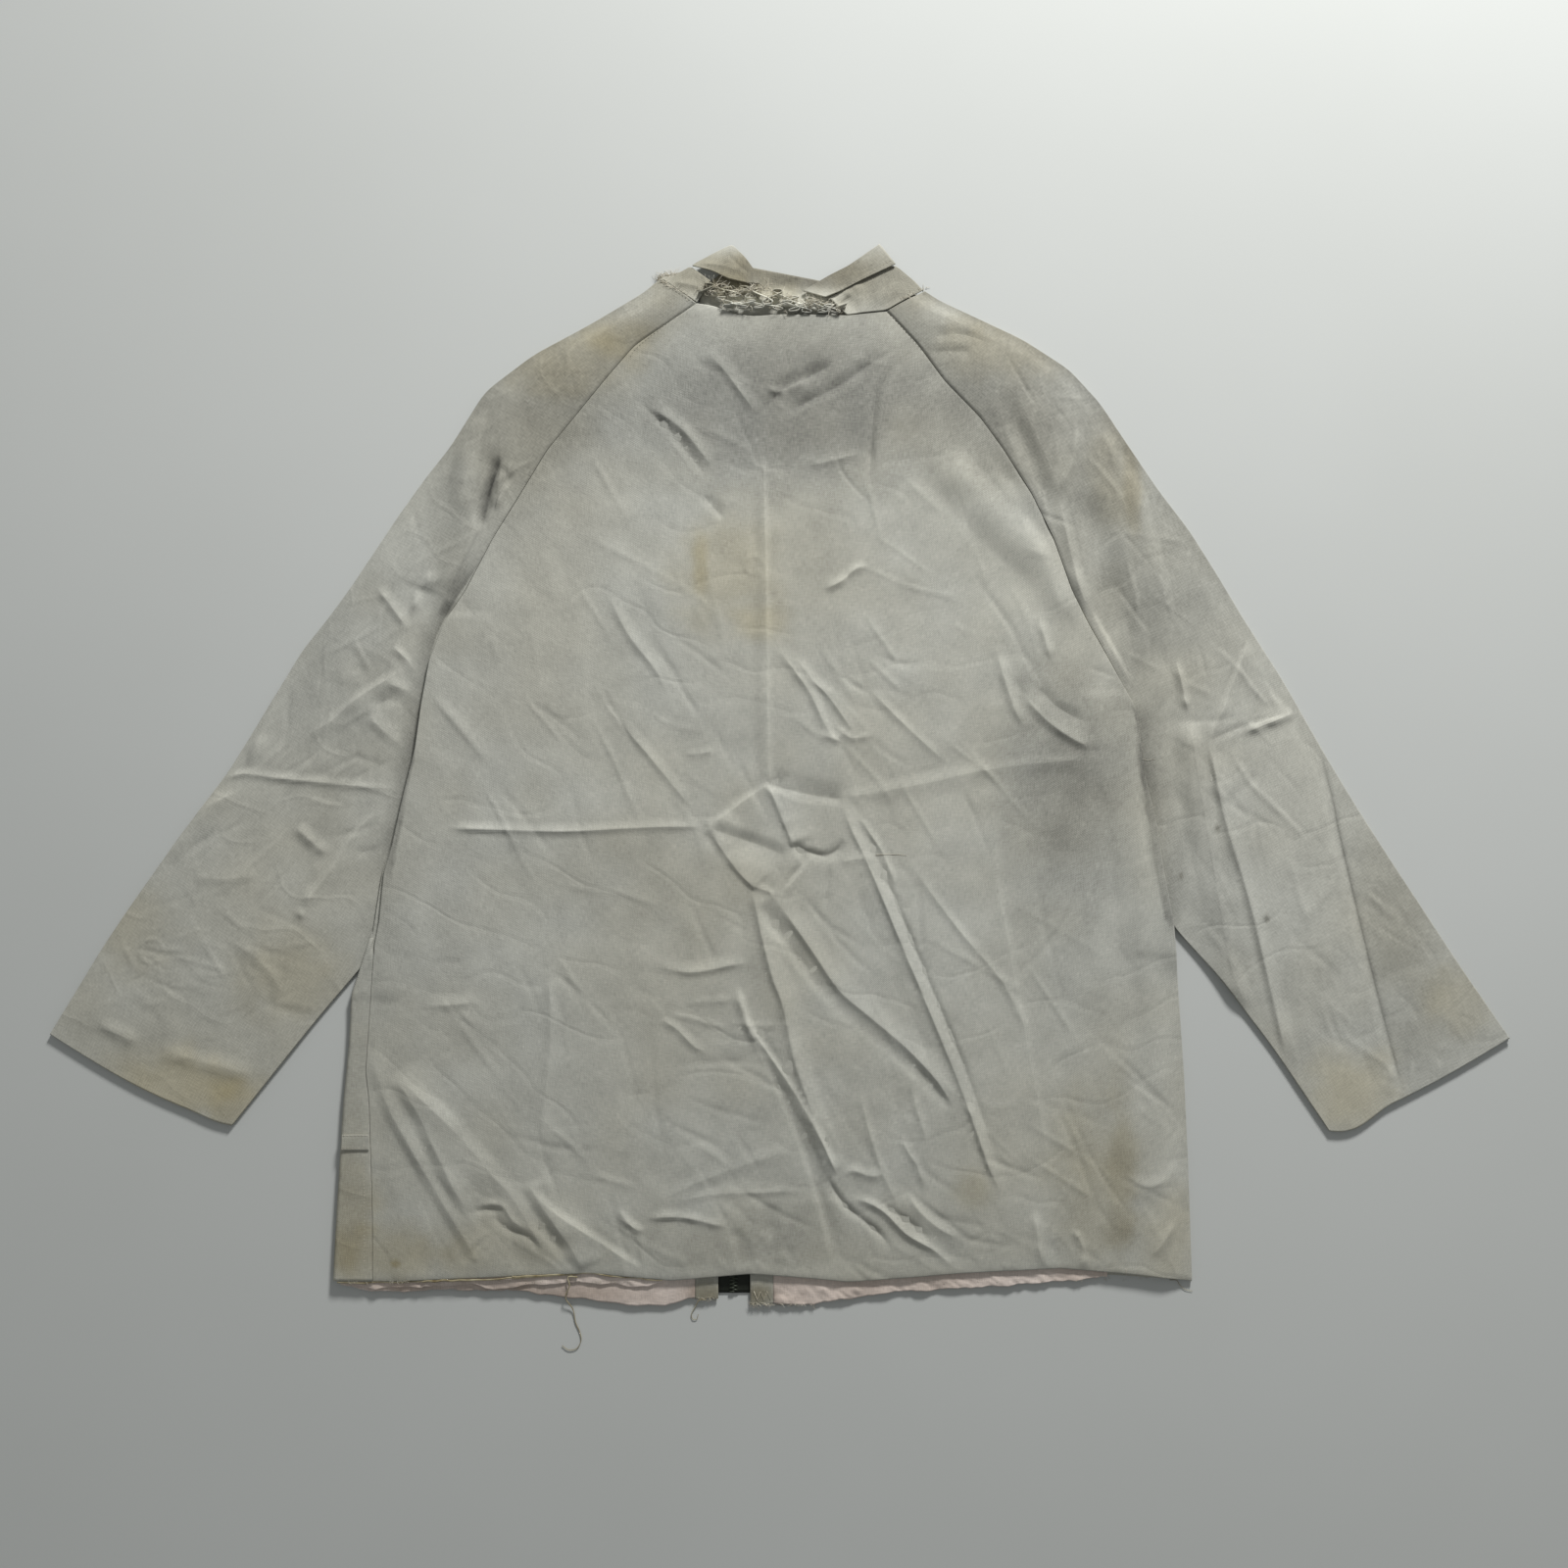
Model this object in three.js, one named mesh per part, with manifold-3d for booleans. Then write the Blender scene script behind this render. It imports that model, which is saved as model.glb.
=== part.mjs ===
// A light zipped jacket with a raglan sleeve, a low collar and a chin strap, laid face down.
// Millimetres, +Z up. +Y points to the collar, +X to the wearer's right as seen from the back.
// The origin lies on the surface below the middle of the whole outline.
import * as THREE from 'three';
import { mergeVertices } from 'three/addons/utils/BufferGeometryUtils.js';
import Module from 'manifold-3d';

const wasm = await Module();
wasm.setup();

// Driving sizes
const CLOTH = 1.5; // wall of the body cloth
const SLEEVE_CLOTH = 1.4;
const LINING_CLOTH = 1.0;
const SEAM_GAP = 0.3;
const BACK_FLOOR = 4.4; // underside of the back panel where it lies flat
const BACK_CROWN = 0.8; // how much the middle of the back stands up
const BACK_LOWEST = 2.6; // no crease of the back presses below this
const SLEEVE_BACK_FLOOR = SLEEVE_CLOTH + SEAM_GAP;
const SLEEVE_PUFF = 1.2;
const UNDER_SLEEVE = SLEEVE_BACK_FLOOR + SLEEVE_CLOTH + SEAM_GAP; // lift of the body over a sleeve
const HEM_HIDDEN_TOP = -335; // upper edge of the strips that show at the hem
const ZIP_LEFT = -45;
const ZIP_RIGHT = -22;
const ZIP_MIDDLE = -34;

const { lerp } = THREE.MathUtils;
const ramp = (from, to, value) => {
  const t = Math.min(1, Math.max(0, (value - from) / (to - from)));
  return t * t * (3 - 2 * t);
};

// An edge is a short table of points. valueAt reads it at one coordinate.
function valueAt(table, key, wanted, place) {
  const rising = table[0][key] < table[table.length - 1][key];
  const rows = rising ? table : [...table].reverse();
  let i = 1;
  while (i < rows.length - 1 && rows[i][key] < place) i += 1;
  const a = rows[i - 1];
  const b = rows[i];
  const t = Math.min(1, Math.max(0, (place - a[key]) / (b[key] - a[key])));
  return lerp(a[wanted], b[wanted], t);
}

// Rows of the body from the collar to the hem. The edges below have their points on these
// rows, so that the two sides of a seam follow the same line.
const ROWS = [
  362, 349, 340, 331, 318, 305, 292, 279, 267, 255, 238, 222, 206, 190, 171, 152, 140, 128, 114,
  101, 85, 68, 54, 36, 18, 0, -18, -36, -54, -72, -90, -108, -127, -145, -163, -181, -200, -222,
  -243, -264, -285, -305, -323, -339, -354,
];
const HEM = ROWS[ROWS.length - 1];
const LEFT_SEAM = [ // raglan seam, then the side seam
  { y: 362, x: -61 }, { y: 349, x: -80 }, { y: 331, x: -106.5 }, { y: 305, x: -129 },
  { y: 279, x: -150 }, { y: 255, x: -170 }, { y: 222, x: -190 }, { y: 190, x: -210 },
  { y: 152, x: -230 }, { y: 128, x: -246 }, { y: 101, x: -256.5 }, { y: 68, x: -262.5 },
  { y: 36, x: -267 }, { y: 0, x: -276 }, { y: -36, x: -284 }, { y: -54, x: -289.6 },
  { y: -90, x: -293 }, { y: -108, x: -296.5 }, { y: -127, x: -298 }, { y: -163, x: -300.5 },
  { y: -200, x: -303 }, { y: -222, x: -300.5 }, { y: -305, x: -298 }, { y: -354, x: -298 },
];
const LEFT_FOLD = [ // outer edge of the body below the armhole
  { y: 128, x: -246.5 }, { y: 101, x: -257 }, { y: 68, x: -263 }, { y: 36, x: -267.5 },
  { y: 0, x: -276.5 }, { y: -36, x: -285 }, { y: -54, x: -291 }, { y: -90, x: -296.5 },
  { y: -127, x: -308 }, { y: -145, x: -314 }, { y: -181, x: -316 }, { y: -222, x: -320 },
  { y: -305, x: -325 }, { y: -354, x: -327.5 },
];
const RIGHT_EDGE = [ // raglan seam, then the fold at the side
  { y: 356, x: 78 }, { y: 349, x: 85 }, { y: 331, x: 101.5 }, { y: 305, x: 120.5 },
  { y: 279, x: 146 }, { y: 255, x: 163.5 }, { y: 222, x: 184.5 }, { y: 190, x: 200 },
  { y: 152, x: 213.5 }, { y: 128, x: 225.5 }, { y: 101, x: 241 }, { y: 68, x: 259 },
  { y: 54, x: 262.5 }, { y: 18, x: 266.5 }, { y: -18, x: 275.5 }, { y: -54, x: 281 },
  { y: -90, x: 288 }, { y: -127, x: 291 }, { y: -145, x: 292.2 }, { y: -200, x: 296 },
  { y: -264, x: 299 }, { y: -354, x: 302 },
];
const BACK_NECK = [
  { x: -61, y: 362 }, { x: -48, y: 360 }, { x: -35, y: 354.5 }, { x: -20, y: 352.5 },
  { x: 0, y: 354 }, { x: 30, y: 353.5 }, { x: 50, y: 353 }, { x: 64, y: 354.5 }, { x: 78, y: 356 },
];
const FRONT_NECK = [
  { x: -80, y: 349 }, { x: -58, y: 336 }, { x: -45, y: 331 }, { x: -22, y: 329 },
  { x: 28, y: 333 }, { x: 58, y: 339 }, { x: 84, y: 349 },
];
const BACK_HEM = [
  { x: -328, y: -353.5 }, { x: -280, y: -353.5 }, { x: -220, y: -351 }, { x: -140, y: -347.5 },
  { x: -80, y: -353 }, { x: -22, y: -348 }, { x: 0, y: -349.5 }, { x: 50, y: -354 },
  { x: 80, y: -352 }, { x: 130, y: -348 }, { x: 205, y: -344 }, { x: 265, y: -349 },
  { x: 302, y: -354 },
];
const FRONT_HEM = [
  { x: -327, y: -353 }, { x: -300, y: -361 }, { x: -240, y: -359 }, { x: -200, y: -360 },
  { x: -140, y: -366 }, { x: -110, y: -371 }, { x: -80, y: -370 }, { x: -62, y: -365 },
  { x: -45, y: -365 }, { x: -22, y: -369.5 }, { x: 25, y: -369.5 }, { x: 50, y: -366 },
  { x: 80, y: -361 }, { x: 140, y: -358 }, { x: 200, y: -354 }, { x: 240, y: -349.5 },
  { x: 302, y: -353.5 },
];
const BACK_LINING_HEM = [
  { x: -325, y: -355.5 }, { x: -300, y: -359 }, { x: -225, y: -356 }, { x: -212, y: -361 },
  { x: -185, y: -356 }, { x: -145, y: -354.5 }, { x: -98, y: -358 }, { x: -83, y: -354 },
];

const leftSeam = (y) => valueAt(LEFT_SEAM, 'y', 'x', y);
const leftFold = (y) => valueAt(LEFT_FOLD, 'y', 'x', y);
const rightEdge = (y) => valueAt(RIGHT_EDGE, 'y', 'x', y);
const backNeck = (x) => valueAt(BACK_NECK, 'x', 'y', x);
const frontNeck = (x) => valueAt(FRONT_NECK, 'x', 'y', x);
const backHem = (x) => valueAt(BACK_HEM, 'x', 'y', x);
const frontHem = (x) => valueAt(FRONT_HEM, 'x', 'y', x);

// A fold runs from (x0, y0) by way of (x1, y1) to (x2, y2). half is half its width, and
// rise its height at the middle: a ridge is positive, a valley negative.
const BACK_FOLDS = [
  { x0: -12, y0: 249, x1: -10, y1: 154, x2: -8, y2: 10, half: 11, rise: 1.6 },
  { x0: -8, y0: 10, x1: 50, y1: -2, x2: 137, y2: 18, half: 12, rise: 2.4 },
  { x0: -8, y0: 10, x1: -53, y1: -20, x2: -170, y2: -24, half: 12, rise: 2.6 },
  { x0: 45, y0: -1, x1: 95, y1: -99, x2: 165, y2: -290, half: 12, rise: 3.4 },
  { x0: 0, y0: -77, x1: 62, y1: -166, x2: 132, y2: -234, half: 11, rise: -2.2 },
  { x0: 14, y0: -72, x1: 76, y1: -154, x2: 140, y2: -218, half: 12, rise: 2.4 },
  { x0: -53, y0: -20, x1: -24, y1: -50, x2: 0, y2: -76, half: 11, rise: 2.2 },
  { x0: 5, y0: -15, x1: 12, y1: -30, x2: 44, y2: -36, half: 10, rise: 1.8 },
  { x0: -32, y0: -134, x1: -4, y1: -198, x2: 44, y2: -275, half: 12, rise: 3.2 },
  { x0: -15, y0: -91, x1: 8, y1: -180, x2: 36, y2: -251, half: 12, rise: -1.6 },
  { x0: 9, y0: -231, x1: 30, y1: -290, x2: 40, y2: -328, half: 11, rise: 2.0 },
  { x0: 34, y0: -275, x1: 55, y1: -305, x2: 81, y2: -328, half: 10, rise: -1.8 },
  { x0: 53, y0: -295, x1: 95, y1: -318, x2: 129, y2: -342, half: 11, rise: 2.5 },
  { x0: 95, y0: -288, x1: 110, y1: -308, x2: 135, y2: -322, half: 10, rise: 2.0 },
  { x0: -283, y0: -203, x1: -224, y1: -269, x2: -166, y2: -338, half: 14, rise: 3.8 },
  { x0: -268, y0: -214, x1: -238, y1: -282, x2: -188, y2: -325, half: 11, rise: -1.8 },
  { x0: -298, y0: -183, x1: -260, y1: -272, x2: -214, y2: -346, half: 12, rise: 3.0 },
  { x0: -180, y0: -281, x1: -150, y1: -316, x2: -100, y2: -346, half: 15, rise: 3.8 },
  { x0: -172, y0: -98, x1: -168, y1: -181, x2: -179, y2: -271, half: 11, rise: 1.6 },
  { x0: -104, y0: 292, x1: -78, y1: 266, x2: -41, y2: 206, half: 11, rise: -1.6 },
  { x0: -54, y0: 327, x1: -16, y1: 279, x2: 31, y2: 312, half: 11, rise: 1.8 },
  { x0: -2, y0: 279, x1: 40, y1: 302, x2: 74, y2: 325, half: 11, rise: -1.5 },
  { x0: 110, y0: 258, x1: 158, y1: 196, x2: 225, y2: 128, half: 17, rise: 2.8 },
  { x0: -124, y0: 147, x1: -105, y1: 112, x2: -83, y2: 77, half: 10, rise: 1.5 },
  { x0: -2, y0: 110, x1: 21, y1: 74, x2: 42, y2: 46, half: 10, rise: 2.0 },
  { x0: 183, y0: 64, x1: 213, y1: 44, x2: 231, y2: 33, half: 11, rise: 2.4 },
  { x0: 92, y0: -44, x1: 133, y1: -99, x2: 175, y2: -154, half: 11, rise: 1.3 },
  { x0: 153, y0: 19, x1: 167, y1: -110, x2: 199, y2: -292, half: 14, rise: 1.2 },
  { x0: 295, y0: -300, x1: 285, y1: -318, x2: 270, y2: -334, half: 10, rise: 1.6 },
  { x0: -95, y0: -304, x1: -70, y1: -308, x2: -44, y2: -311, half: 10, rise: 1.6 },
  { x0: -90, y0: -124, x1: -54, y1: -125, x2: -21, y2: -118, half: 9, rise: 1.3 },
];
const LEFT_SLEEVE_FOLDS = [
  { x0: -350, y0: 44, x1: -312, y1: 74, x2: -270, y2: 98, half: 13, rise: 2.6 },
  { x0: -410, y0: 13, x1: -340, y1: 12, x2: -270, y2: 6, half: 10, rise: 2.2 },
  { x0: -364, y0: 85, x1: -384, y1: 44, x2: -394, y2: 20, half: 11, rise: 2.2 },
  { x0: -450, y0: -47, x1: -422, y1: -8, x2: -395, y2: 5, half: 11, rise: 2.2 },
  { x0: -346, y0: -75, x1: -315, y1: -32, x2: -280, y2: -7, half: 13, rise: 2.8 },
  { x0: -302, y0: 60, x1: -285, y1: 45, x2: -266, y2: 33, half: 10, rise: 1.6 },
  { x0: -352, y0: -92, x1: -347, y1: -78, x2: -338, y2: -62, half: 9, rise: 1.3 },
  { x0: -455, y0: -185, x1: -420, y1: -195, x2: -385, y2: -205, half: 11, rise: 1.8 },
  { x0: -500, y0: -165, x1: -485, y1: -172, x2: -468, y2: -181, half: 10, rise: 1.4 },
  { x0: -222, y0: 292, x1: -230, y1: 244, x2: -232, y2: 196, half: 13, rise: 2.2 },
  { x0: -216, y0: 250, x1: -215, y1: 220, x2: -218, y2: 196, half: 9, rise: -2.4 },
  { x0: -252, y0: 168, x1: -265, y1: 150, x2: -270, y2: 130, half: 10, rise: 1.5 },
];
const RIGHT_SLEEVE_FOLDS = [
  { x0: 163, y0: 298, x1: 180, y1: 256, x2: 200, y2: 205, half: 11, rise: -1.8 },
  { x0: 203, y0: 222, x1: 212, y1: 182, x2: 227, y2: 130, half: 10, rise: 2.2 },
  { x0: 235, y0: 288, x1: 264, y1: 200, x2: 279, y2: 105, half: 11, rise: 2.2 },
  { x0: 298, y0: 62, x1: 312, y1: -30, x2: 344, y2: -155, half: 11, rise: 2.4 },
  { x0: 314, y0: 42, x1: 336, y1: -52, x2: 370, y2: -190, half: 10, rise: 1.8 },
  { x0: 384, y0: 66, x1: 358, y1: 56, x2: 334, y2: 46, half: 9, rise: 1.5 },
  { x0: 345, y0: 120, x1: 330, y1: 80, x2: 314, y2: 42, half: 10, rise: 1.5 },
  { x0: 394, y0: 42, x1: 420, y1: -70, x2: 459, y2: -214, half: 12, rise: 3.4 },
  { x0: 488, y0: -106, x1: 494, y1: -118, x2: 502, y2: -132, half: 10, rise: -0.9 },
  { x0: 108, y0: 337, x1: 128, y1: 338, x2: 152, y2: 333, half: 9, rise: 1.4 },
  { x0: 280, y0: 62, x1: 286, y1: 0, x2: 296, y2: -60, half: 12, rise: -1.4 },
];

// Height of one fold over a point: a smooth hump across it that tapers at both ends.
function foldHeight(fold, x, y) {
  const steps = 8;
  let best = Infinity;
  let along = 0;
  for (let i = 0; i <= steps; i += 1) {
    const t = i / steps;
    const bend = 2 * t * (1 - t);
    const px = fold.x0 * (1 - t) * (1 - t) + fold.x1 * bend + fold.x2 * t * t;
    const py = fold.y0 * (1 - t) * (1 - t) + fold.y1 * bend + fold.y2 * t * t;
    const distance = Math.hypot(x - px, y - py);
    if (distance < best) {
      best = distance;
      along = t;
    }
  }
  const across = Math.max(0, 1 - (best / fold.half) ** 2);
  const taper = 0.35 + 0.65 * Math.sin(Math.PI * along);
  return fold.rise * across * across * taper;
}

const foldsAt = (folds, x, y) => folds.reduce((sum, fold) => sum + foldHeight(fold, x, y), 0);

// A closed wall between two grids of [x, y, z] points with the same rows and columns.
function wall(upper, lower) {
  const rows = upper.length;
  const columns = upper[0].length;
  const points = [...upper.flat(), ...lower.flat()];
  const top = (r, c) => r * columns + c;
  const bottom = (r, c) => rows * columns + r * columns + c;
  const index = [];
  const quad = (a, b, c, d) => index.push(a, b, c, a, c, d);
  for (let r = 0; r < rows - 1; r += 1) {
    for (let c = 0; c < columns - 1; c += 1) {
      quad(top(r, c), top(r + 1, c), top(r + 1, c + 1), top(r, c + 1));
      quad(bottom(r, c), bottom(r, c + 1), bottom(r + 1, c + 1), bottom(r + 1, c));
    }
  }
  for (let r = 0; r < rows - 1; r += 1) {
    const last = columns - 1;
    quad(bottom(r, 0), bottom(r + 1, 0), top(r + 1, 0), top(r, 0));
    quad(top(r, last), top(r + 1, last), bottom(r + 1, last), bottom(r, last));
  }
  for (let c = 0; c < columns - 1; c += 1) {
    const last = rows - 1;
    quad(bottom(0, c + 1), bottom(0, c), top(0, c), top(0, c + 1));
    quad(bottom(last, c), bottom(last, c + 1), top(last, c + 1), top(last, c));
  }
  return outward(points, index);
}

// Turns the faces around where they enclose a negative volume.
function outward(points, index) {
  const [a, b, c] = [new THREE.Vector3(), new THREE.Vector3(), new THREE.Vector3()];
  let volume = 0;
  for (let i = 0; i < index.length; i += 3) {
    a.fromArray(points[index[i]]);
    b.fromArray(points[index[i + 1]]);
    c.fromArray(points[index[i + 2]]);
    volume += a.dot(b.cross(c));
  }
  if (volume < 0) {
    for (let i = 0; i < index.length; i += 3) {
      [index[i + 1], index[i + 2]] = [index[i + 2], index[i + 1]];
    }
  }
  const geometry = new THREE.BufferGeometry();
  geometry.setAttribute('position', new THREE.Float32BufferAttribute(points.flat(), 3));
  geometry.setIndex(index);
  return geometry;
}

// A sheet over a plan: plan(v, u) gives [x, y], top(x, y, v, u) the height of its upper face.
// Its underside lies one cloth lower, or on the surface where flat is set.
function sheet({ rows, columns, plan, top, cloth, flat = false, at = (i, n) => i / n }) {
  const upper = [];
  const lower = [];
  for (let r = 0; r <= rows; r += 1) {
    const upperRow = [];
    const lowerRow = [];
    for (let c = 0; c <= columns; c += 1) {
      const v = r / rows;
      const u = at(c, columns);
      const [x, y] = plan(v, u);
      const z = top(x, y, v, u);
      upperRow.push([x, y, z]);
      lowerRow.push([x, y, flat ? 0 : z - cloth]);
    }
    upper.push(upperRow);
    lower.push(lowerRow);
  }
  return wall(upper, lower);
}

// How much the body is lifted where a sleeve passes below its edge.
function frontFloor(x, y) {
  const left = ramp(150, 130, y) * ramp(-165, -140, y) * ramp(58, 26, x - leftFold(y));
  const right = ramp(94, 72, y) * ramp(-136, -108, y) * ramp(58, 26, rightEdge(y) - x);
  return UNDER_SLEEVE * Math.max(left, right);
}

function backTop(x, y) {
  const onFront = frontFloor(x, y) + CLOTH + SEAM_GAP;
  const inset = Math.min(x - leftSeam(y), rightEdge(y) - x);
  const crown = BACK_CROWN * ramp(0, 60, inset) * ramp(HEM, HEM + 60, y) * ramp(354, 320, y);
  const folds = foldsAt(BACK_FOLDS, x, y) * (0.3 + 0.7 * ramp(0, 14, inset));
  const drop = ramp(90, 60, y) * ramp(22, 0, rightEdge(y) - x);
  const flat = Math.max(BACK_FLOOR, onFront);
  const lowest = y < -325 ? BACK_FLOOR : Math.max(BACK_LOWEST, onFront);
  const free = Math.max(lowest, flat + crown + folds);
  return CLOTH + lerp(free, onFront, drop);
}

function backPanel() {
  const rightNeck = 356; // the neck is lower at its right end
  return sheet({
    rows: ROWS.length - 1,
    columns: 28,
    cloth: CLOTH,
    plan: (v, u) => {
      const yLeft = ROWS[Math.round(v * (ROWS.length - 1))];
      const yRight = Math.min(yLeft, rightNeck);
      const x = lerp(leftSeam(yLeft), rightEdge(yRight), u);
      const straight = lerp(yLeft, yRight, u);
      const neck = (backNeck(x) - lerp(ROWS[0], rightNeck, u)) * ramp(250, 362, yLeft);
      const hem = (backHem(x) - HEM) * ramp(-264, HEM, yLeft);
      return [x, straight + neck + hem];
    },
    top: backTop,
  });
}

// The rows of the two fronts are those at which their side edge has a point.
const frontRows = (edge) => edge.map((point) => point.y).filter((y) => y < 350);
const frontY = (x, y, hem) => y + (frontNeck(x) - 349) * ramp(230, 349, y)
  + (hem(x) - HEM) * ramp(-264, HEM, y);

// The left front lies below and wraps over the fold at the side, up to the side seam.
function leftFront() {
  const rows = frontRows(LEFT_SEAM);
  const flatColumns = 6;
  const wrapColumns = 7;
  const half = CLOTH / 2;
  const upper = [];
  const lower = [];
  for (const y of rows) {
    const wrapped = ramp(-86, -118, y);
    const turn = Math.PI * wrapped;
    const edge = y >= 128 ? leftSeam(y) : leftFold(y);
    const under = (x) => frontFloor(x, y) + half;
    const high = Math.max(BACK_FLOOR, frontFloor(edge, y) + CLOTH + SEAM_GAP) + half;
    const radius = (high - under(edge)) / 2;
    const stub = 0.8 * (1 - wrapped);
    const bendX = edge + stub + (radius + half) * Math.min(1, wrapped * 2);
    const lie = Math.max(0, leftSeam(y) - SEAM_GAP - bendX) * wrapped;
    const upperRow = [];
    const lowerRow = [];
    const place = (x, z, nx, nz, hem) => {
      const py = frontY(x, y, hem);
      upperRow.push([x + nx * half, py, z + nz * half]);
      lowerRow.push([x - nx * half, py, z - nz * half]);
    };
    for (let c = 0; c <= flatColumns; c += 1) {
      const x = lerp(ZIP_LEFT - SEAM_GAP, bendX, 1 - (1 - c / flatColumns) ** 2);
      place(x, under(x), 0, 1, frontHem);
    }
    const arc = radius * turn;
    const total = arc + lie + stub;
    for (let c = 1; c <= wrapColumns; c += 1) {
      const s = total * (c / wrapColumns);
      const angle = arc > 0 ? Math.min(s / radius, turn) : 0;
      const rest = Math.max(0, s - arc);
      const bend = arc > 0 ? radius : 0;
      const x = bendX - Math.sin(angle) * bend - Math.cos(angle) * rest;
      const z = under(edge) + (1 - Math.cos(angle)) * bend - Math.sin(angle) * rest;
      place(x, z, Math.sin(angle), Math.cos(angle), angle > Math.PI / 2 ? backHem : frontHem);
    }
    upper.push(upperRow);
    lower.push(lowerRow);
  }
  return wall(upper, lower);
}

function rightFront() {
  const rows = frontRows(RIGHT_EDGE);
  return sheet({
    rows: rows.length - 1,
    columns: 8,
    cloth: CLOTH,
    at: (c, n) => 1 - (1 - c / n) ** 2,
    plan: (v, u) => {
      const y = rows[Math.round(v * (rows.length - 1))];
      const x = lerp(ZIP_RIGHT + SEAM_GAP, rightEdge(y), u);
      return [x, frontY(x, y, frontHem)];
    },
    top: (x, y) => frontFloor(x, y) + CLOTH,
  });
}

// Sections of a sleeve from the neck to the cuff: its inner and its outer end. reach is the
// width of the strip beside the seam that lies as high as the body.
const LEFT_SECTIONS = [
  { ix: -61, iy: 362, ox: -87, oy: 380.5, reach: 7 },
  { ix: -80, iy: 349, ox: -101, oy: 369, reach: 8 },
  { ix: -106.5, iy: 331, ox: -140, oy: 346, reach: 10 },
  { ix: -129, iy: 305, ox: -180, oy: 325, reach: 12 },
  { ix: -150, iy: 279, ox: -216, oy: 298, reach: 12 },
  { ix: -170, iy: 255, ox: -241, oy: 258, reach: 10 },
  { ix: -190, iy: 222, ox: -260, oy: 234, reach: 10 },
  { ix: -210, iy: 190, ox: -280, oy: 206, reach: 10 },
  { ix: -230, iy: 152, ox: -314, oy: 155, reach: 9 },
  { ix: -246, iy: 128, ox: -330, oy: 133, reach: 6 },
  { ix: -246, iy: 101, ox: -350, oy: 108, reach: 6 },
  { ix: -252, iy: 60, ox: -385, oy: 50, reach: 6 },
  { ix: -260, iy: 18, ox: -405, oy: 18, reach: 6 },
  { ix: -270, iy: -26, ox: -440, oy: -28, reach: 6 },
  { ix: -282, iy: -76, ox: -478, oy: -82, reach: 6 },
  { ix: -302, iy: -118, ox: -498, oy: -112, reach: 6 },
  { ix: -338, iy: -160, ox: -513, oy: -137, reach: 6 },
  { ix: -402, iy: -240, ox: -535, oy: -173, reach: 6 },
];
const RIGHT_SECTIONS = [
  { ix: 78, iy: 356, ox: 106, oy: 371, reach: 7 },
  { ix: 85, iy: 349, ox: 117, oy: 364, reach: 8 },
  { ix: 101.5, iy: 331, ox: 141, oy: 353, reach: 10 },
  { ix: 120.5, iy: 305, ox: 178, oy: 336, reach: 12 },
  { ix: 146, iy: 279, ox: 212, oy: 314, reach: 12 },
  { ix: 163.5, iy: 255, ox: 234, oy: 290, reach: 12 },
  { ix: 184.5, iy: 222, ox: 254, oy: 260, reach: 10 },
  { ix: 200, iy: 190, ox: 277, oy: 226, reach: 6 },
  { ix: 213.5, iy: 152, ox: 300, oy: 196, reach: 5 },
  { ix: 225.5, iy: 128, ox: 322, oy: 161, reach: 5 },
  { ix: 241, iy: 101, ox: 338, oy: 134, reach: 5 },
  { ix: 259, iy: 68, ox: 352, oy: 112, reach: 5 },
  { ix: 251, iy: 46, ox: 368, oy: 87, reach: 6 },
  { ix: 257, iy: 8, ox: 385, oy: 57, reach: 6 },
  { ix: 267, iy: -30, ox: 401, oy: 29, reach: 6 },
  { ix: 273, iy: -72, ox: 426, oy: -12, reach: 6 },
  { ix: 292, iy: -98, ox: 451, oy: -51, reach: 6 },
  { ix: 322, iy: -131, ox: 480, oy: -95, reach: 6 },
  { ix: 361, iy: -182, ox: 505, oy: -133, reach: 6 },
  { ix: 403, iy: -244, ox: 535, oy: -176, reach: 6 },
];

// The point of a table of sections at v, from 0 at the neck to 1 at the cuff.
function sectionAt(sections, v) {
  const place = v * (sections.length - 1);
  const i = Math.min(sections.length - 2, Math.floor(place));
  const mix = {};
  for (const key of Object.keys(sections[0])) {
    mix[key] = lerp(sections[i][key], sections[i + 1][key], place - i);
  }
  return mix;
}

// side is -1 for the left sleeve and +1 for the right one.
function sleeveSide(side) {
  if (side < 0) {
    return {
      sections: LEFT_SECTIONS,
      folds: LEFT_SLEEVE_FOLDS,
      seam: leftSeam,
      edge: leftFold,
      dive: { from: 146, to: 132 }, // where the sleeve sinks from the body's level
      pleat: { from: 262, to: 232 }, // where its slope turns into a sharp step
      cuff: (u) => -6 * Math.sin(Math.PI * u) - 6 * ramp(0.25, 0, u) * Math.sin(Math.PI * u),
    };
  }
  return {
    sections: RIGHT_SECTIONS,
    folds: RIGHT_SLEEVE_FOLDS,
    seam: rightEdge,
    edge: rightEdge,
    dive: { from: 108, to: 78 },
    pleat: { from: 190, to: 130 },
    cuff: (u) => -4 * Math.sin(Math.PI * u) - 22 * ramp(0.35, 0, u) * Math.sin(Math.PI * u),
  };
}

function sleevePlan(side, sleeve) {
  return (v, u) => {
    const section = sectionAt(sleeve.sections, v);
    const onSeam = section.iy > sleeve.dive.to - 2;
    const inner = onSeam ? sleeve.seam(section.iy) + side * SEAM_GAP * 1.6 : section.ix;
    const x = lerp(inner, section.ox, u);
    const y = lerp(section.iy, section.oy, u) + sleeve.cuff(u) * ramp(0.93, 1, v);
    return [x, y];
  };
}

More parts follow.
